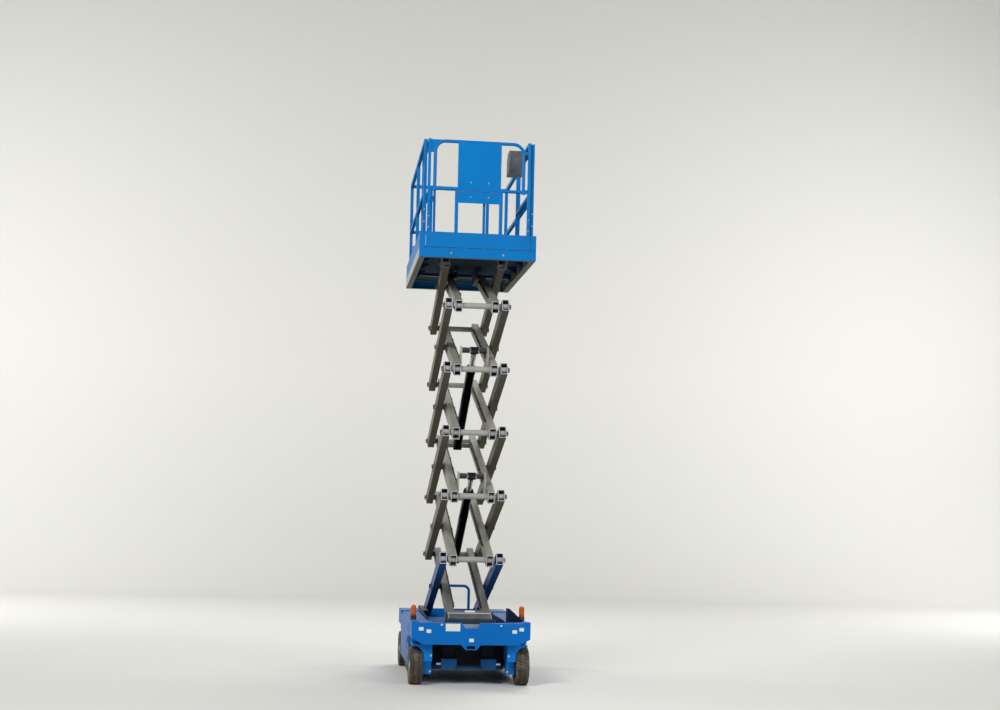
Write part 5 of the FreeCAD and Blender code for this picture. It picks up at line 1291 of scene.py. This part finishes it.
@dataclass
class Beacons:
    """Two amber beacons: fluted domes in place of the plain lenses."""

    x: float = 0.550
    y: float = -0.825
    height: float = 0.108
    radius: float = 0.027
    flutes: int = 20
    flute_depth: float = 0.05

    def dome(self) -> Surface:
        """A dome, P(u, v) = (r(u) f cos v, r(u) f sin v, h(u)), with f = 1 - depth sin^2(flutes v / 2)."""
        turn = np.linspace(0, 2 * np.pi, 8 * self.flutes, endpoint=False)[None]
        bend = np.radians(np.linspace(0, 90, 9))[1:]
        wall = np.linspace(0, self.height - self.radius, 9)
        h = np.concatenate([[0], wall, wall[-1] + self.radius * np.sin(bend)])[:, None]
        r = np.concatenate([[0], np.full(9, self.radius), self.radius * np.cos(bend)])[:, None]
        flute = 1 - self.flute_depth * np.sin(self.flutes * turn / 2) ** 2
        points = np.stack([r * flute * np.cos(turn), r * flute * np.sin(turn), h + 0 * turn], -1)
        return grid(points, wrap=(False, True))

    def build(self) -> None:
        """Replaces the plain lenses."""
        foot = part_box("beacon_lenses")[0][2]
        lenses = self.dome().repeated([(side * self.x, self.y, foot) for side in (-1, 1)])
        piece = make_piece("fluted_lenses", lenses, AMBER, "chassis", smooth=25)
        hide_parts("beacon_lenses")


@dataclass
class Platform:
    """Frame, deck, rails, gate and roll-out extension with its panel and latches."""

    before: float = -1.6
    floor_z: float = 4.3633
    extension_z: float = 4.3993
    tread_pitch: float = 0.03
    panel_bolts: tuple[tuple[float, float], ...] = (
        (-0.085, 5.02), (0.095, 5.02), (-0.085, 4.876), (0.095, 4.876),
    )
    frame_bolts: tuple[tuple[float, float], ...] = ((-0.266, 4.306), (0.256, 4.306))
    extension_post: tuple[float, float, float] = (0.502, 4.56, 4.67)
    main_post: tuple[float, float, float] = (0.545, 4.62, 4.74)
    hoop_y: float = -1.0
    bend_x: float = 0.341
    bend_z: float = 5.3213
    bend_reach: float = 0.120
    post_x: float = 0.490
    hoop_latch_at: tuple[float, float, float] = (0.468, -1.0, 5.300)
    gate_latch_from: tuple[float, float, float] = (0.286, 0.6, 5.28)

    def paint(self) -> None:
        """Gives every platform node its finish."""
        repaint(PLATFORM_BLUE, "guardrail_left", "guardrail_right", "guardrail_rear", "entry_gate",
                "extension_rails", "front_rail")
        repaint(FRAME_PAINT, "platform_frame")
        repaint(DECK_PLATE, "platform_deck")
        repaint(EXTENSION_PLATE, "extension_deck")
        repaint(CASE, "control_box")

    def bolts(self, radius: float, spots: Sequence[tuple[str, float, float]]) -> Surface:
        """Hexagon bolts on the fronts of nodes, each at a node's name, a place across and a height."""
        return seated(hex_bolt(radius), [seat(node, (x, self.before, z), Y) for node, x, z in spots])

    def corner_plate(self) -> Surface:
        """Plate between the hoop's left bend and the rail post beside it: a corner with one side on the bend.

        The bend's side follows (c + R cos t, R sin t) for t from 10 to 78 degrees.
        """
        turn = np.radians(np.linspace(10, 78, 14))
        arc = np.stack([self.bend_x + self.bend_reach * np.cos(turn), self.bend_reach * np.sin(turn)], -1)
        corner = [(self.post_x, arc[-1, 1]), (self.post_x, arc[0, 1])]
        outline = np.concatenate([arc[::-1], corner[::-1]]) * (-1, 1)
        return prism(outline, -0.003, 0.003).turned(UPRIGHT).moved((0, self.hoop_y, self.bend_z))

    def hoop_latch(self) -> Surface:
        """Latch of the hoop on the right post: a small housing, its sprung pin and pull ring."""
        housing = prism(rounded(0.030, 0.046, 0.006), -0.016, 0.016)
        pin = lathe([(-0.024, 0), (-0.024, 0.006), (-0.020, 0.008), (0.030, 0.008), (0.034, 0.006),
                     (0.034, 0)], 20)
        ring = bead(0.011, 0.0022, 6).turned(axes(X)).moved((0, 0, -0.034))
        return joined([housing, pin.turned(axes(X)), ring]).turned(UPRIGHT).moved(self.hoop_latch_at)

    def gate_latch(self) -> Surface:
        """Drop latch on the inner side of the gate: plate, bent lever and round knob."""
        plate = prism(rounded(0.026, 0.080, 0.005), -0.001, 0.004)
        bends = [(0, -0.02, 0.004), (0, 0, 0.014), (-0.01, 0.02, 0.022), (-0.03, 0.03, 0.024)]
        lever = sweep(curve_through(bends), rounded(0.012, 0.005, 0.002), Y)
        knob = lathe([(-0.010, 0), (-0.010, 0.006), (-0.006, 0.010), (0.006, 0.010), (0.010, 0.006),
                      (0.010, 0)], 20)
        whole = joined([plate, lever, knob.moved((-0.032, 0.031, 0.024))])
        return seated(whole, [seat("entry_gate", self.gate_latch_from, Y)])

    def build(self) -> None:
        """Paints the platform and adds its bolts, tread, corner plate and latches."""
        self.paint()
        panel = self.bolts(0.0045, [("front_rail", *spot) for spot in self.panel_bolts])
        make_piece("panel_bolts", panel, ZINC, "extension")
        frame = self.bolts(0.006, [("platform_frame", *spot) for spot in self.frame_bolts])
        make_piece("frame_bolts", frame, ZINC, "platform")
        x, *heights = self.extension_post
        posts = self.bolts(0.004, [("extension_rails", side * x, z) for _, side in SIDES for z in heights])
        make_piece("post_bolts_extension", posts, ZINC, "extension")
        x, *heights = self.main_post
        posts = self.bolts(0.004, [("guardrail_" + word, side * x, z)
                                   for word, side in SIDES for z in heights])
        make_piece("post_bolts_main", posts, ZINC, "platform")
        deck = lozenges((-0.51, 0.52), (-0.055, 1.16), self.floor_z, self.tread_pitch)
        make_piece("deck_lozenges", deck, DECK_PLATE, "platform")
        deck = lozenges((-0.46, 0.47), (-0.97, -0.12), self.extension_z, self.tread_pitch)
        make_piece("extension_lozenges", deck, DECK_PLATE, "extension")
        make_piece("hoop_corner_plate", self.corner_plate(), PLATFORM_BLUE, "extension")
        make_piece("hoop_latch", self.hoop_latch(), DARK_STEEL, "extension")
        make_piece("gate_latch", self.gate_latch(), DARK_STEEL, "gate")


@dataclass
class Controls:
    """What the operator holds: lever, stop button and switches on the sloped face of the control box."""

    box: str = "control_box"
    body: str = "extension"
    above: float = 5.6
    lever_at: tuple[float, float] = (0.385, -0.478)
    stop_at: tuple[float, float] = (0.448, -0.520)
    switches_x: tuple[float, ...] = (0.362, 0.392, 0.414)
    switches_y: float = -0.525

    def spot(self, x: float, y: float) -> Seat:
        """The spot on the sloped face below a place."""
        return seat(self.box, (x, y, self.above), -Z)

    def build(self) -> None:
        """Adds each control."""
        waves = [(0.003 * i, 0.021 - 0.0012 * i + 0.002 * (i % 2)) for i in range(9)]
        boot = lathe([(0, 0), *waves, (0.026, 0)], 32)
        stick = lathe([(0.02, 0), (0.02, 0.004), (0.040, 0.005), (0.044, 0.010), (0.052, 0.013),
                       (0.066, 0.013), (0.074, 0.010), (0.078, 0)], 28)
        lever = seated(joined([boot, stick]), [self.spot(*self.lever_at)])
        make_piece("drive_lever", lever, GRIP, self.body)
        collar = lathe([(0, 0), (0, 0.019), (0.006, 0.019), (0.008, 0.015), (0.008, 0)], 32)
        head = lathe([(0.007, 0), (0.007, 0.009), (0.013, 0.009), (0.014, 0.0165), (0.019, 0.016),
                      (0.023, 0.010), (0.024, 0)], 32)
        stop = [self.spot(*self.stop_at)]
        make_piece("stop_collar", seated(collar, stop), SIGNAL_YELLOW, self.body)
        make_piece("stop_button", seated(head, stop), SIGNAL_RED, self.body)
        toggle = lathe([(0, 0), (0, 0.008), (0.003, 0.008), (0.004, 0.004), (0.008, 0.0035), (0.020, 0.0045),
                        (0.022, 0)], 20)
        row = [self.spot(x, self.switches_y) for x in self.switches_x]
        make_piece("switches", seated(toggle, row), ZINC, self.body)


@dataclass(frozen=True)
class Softbox:
    """A large round lamp: where it hangs, what it looks at, its diameter and its power in watts."""

    place: tuple[float, float, float]
    target: tuple[float, float, float]
    size: float
    power: float


@dataclass
class Studio:
    """Plain pale floor that turns up into a backdrop, soft lights, and the photograph's camera."""

    eye: tuple[float, float, float] = (-1.55, -16.22, 1.705)
    yaw: float = 6.875
    roll: float = 1.3
    lens: float = 55.0
    sensor: float = 36.0
    shift: float = 0.16
    cove: float = 5.0
    cove_y: float = 14.0
    lamps: tuple[Softbox, ...] = (
        Softbox((-6.0, -10.0, 10.0), (0.0, 0.0, 3.0), 5.0, 1250.0),
        Softbox((8.0, -9.0, 6.0), (0.0, 0.0, 2.5), 6.0, 420.0),
        Softbox((3.0, 6.0, 10.0), (0.0, 0.0, 4.0), 5.0, 550.0),
        Softbox((-13.0, 7.0, 7.0), (-1.0, 19.0, 3.0), 6.0, 1500.0),
        Softbox((15.0, 7.0, 7.0), (4.0, 19.0, 3.0), 6.0, 1500.0),
    )

    def floor(self) -> None:
        """The staged floor in pale plaster: it runs level, turns up on a quarter circle and climbs."""
        bend = np.radians(np.linspace(0, 90, 24))
        y = np.concatenate([[-30], self.cove_y + self.cove * np.sin(bend), [self.cove_y + self.cove]])
        z = np.concatenate([[0], self.cove - self.cove * np.cos(bend), [22]])
        x = np.linspace(-30, 30, 3)
        shape = grid(np.stack(np.broadcast_arrays(x[None], y[:, None], z[:, None]), -1))
        meshed("studio_floor", shape, Finish("matt_studio_floor", "#D2D1CC", 0.75))

    def light(self) -> None:
        """Large soft lamps and an even pale surround."""
        for number, box in enumerate(self.lamps):
            lamp = bpy.data.lights.new("softbox_%d" % number, "AREA")
            lamp.shape, lamp.size, lamp.energy = "DISK", box.size, box.power
            item = bpy.data.objects.new("softbox_%d" % number, lamp)
            item.location = box.place
            aim = Vector(box.target) - Vector(box.place)
            item.rotation_euler = aim.to_track_quat("-Z", "Y").to_euler()
            bpy.context.scene.collection.objects.link(item)
        world = bpy.data.worlds.new("pale_surround")
        world.use_nodes = True
        sky = world.node_tree.nodes["Background"]
        sky.inputs[0].default_value = linear("#DADCDE")
        sky.inputs[1].default_value = 0.38
        bpy.context.scene.world = world

    def camera(self) -> None:
        """A level camera, turned and rolled as the photograph's was, shifted up to hold the machine."""
        yaw, roll = math.radians(self.yaw), math.radians(self.roll)
        ahead = Vector((math.sin(yaw), math.cos(yaw), 0))
        right = ahead.cross(Vector((0, 0, 1)))
        up = Vector((0, 0, 1)) * math.cos(roll) - right * math.sin(roll)
        right = ahead.cross(up)
        turn = Matrix((right, up, -ahead)).transposed()
        data = bpy.data.cameras.new("photo_camera")
        data.lens, data.sensor_width, data.shift_y = self.lens, self.sensor, self.shift
        data.clip_end = 200
        item = bpy.data.objects.new("photo_camera", data)
        item.matrix_world = Matrix.Translation(Vector(self.eye)) @ turn.to_4x4()
        bpy.context.scene.collection.objects.link(item)
        bpy.context.scene.camera = item

    def build(self) -> None:
        """Sets the stage."""
        self.floor()
        self.light()
        self.camera()
        bpy.context.scene.view_settings.view_transform = "Standard"


def main() -> None:
    """Builds the sub-assemblies in order."""
    logging.basicConfig(level=logging.INFO, format="%(message)s")
    parts = (Wheels(), ArmStack(), LiftCylinders(), Chassis(), Beacons(), Platform(), Controls(), Studio())
    for part in parts:
        LOG.info("building %s", type(part).__name__)
        part.build()


if __name__ == "__main__":
    main()
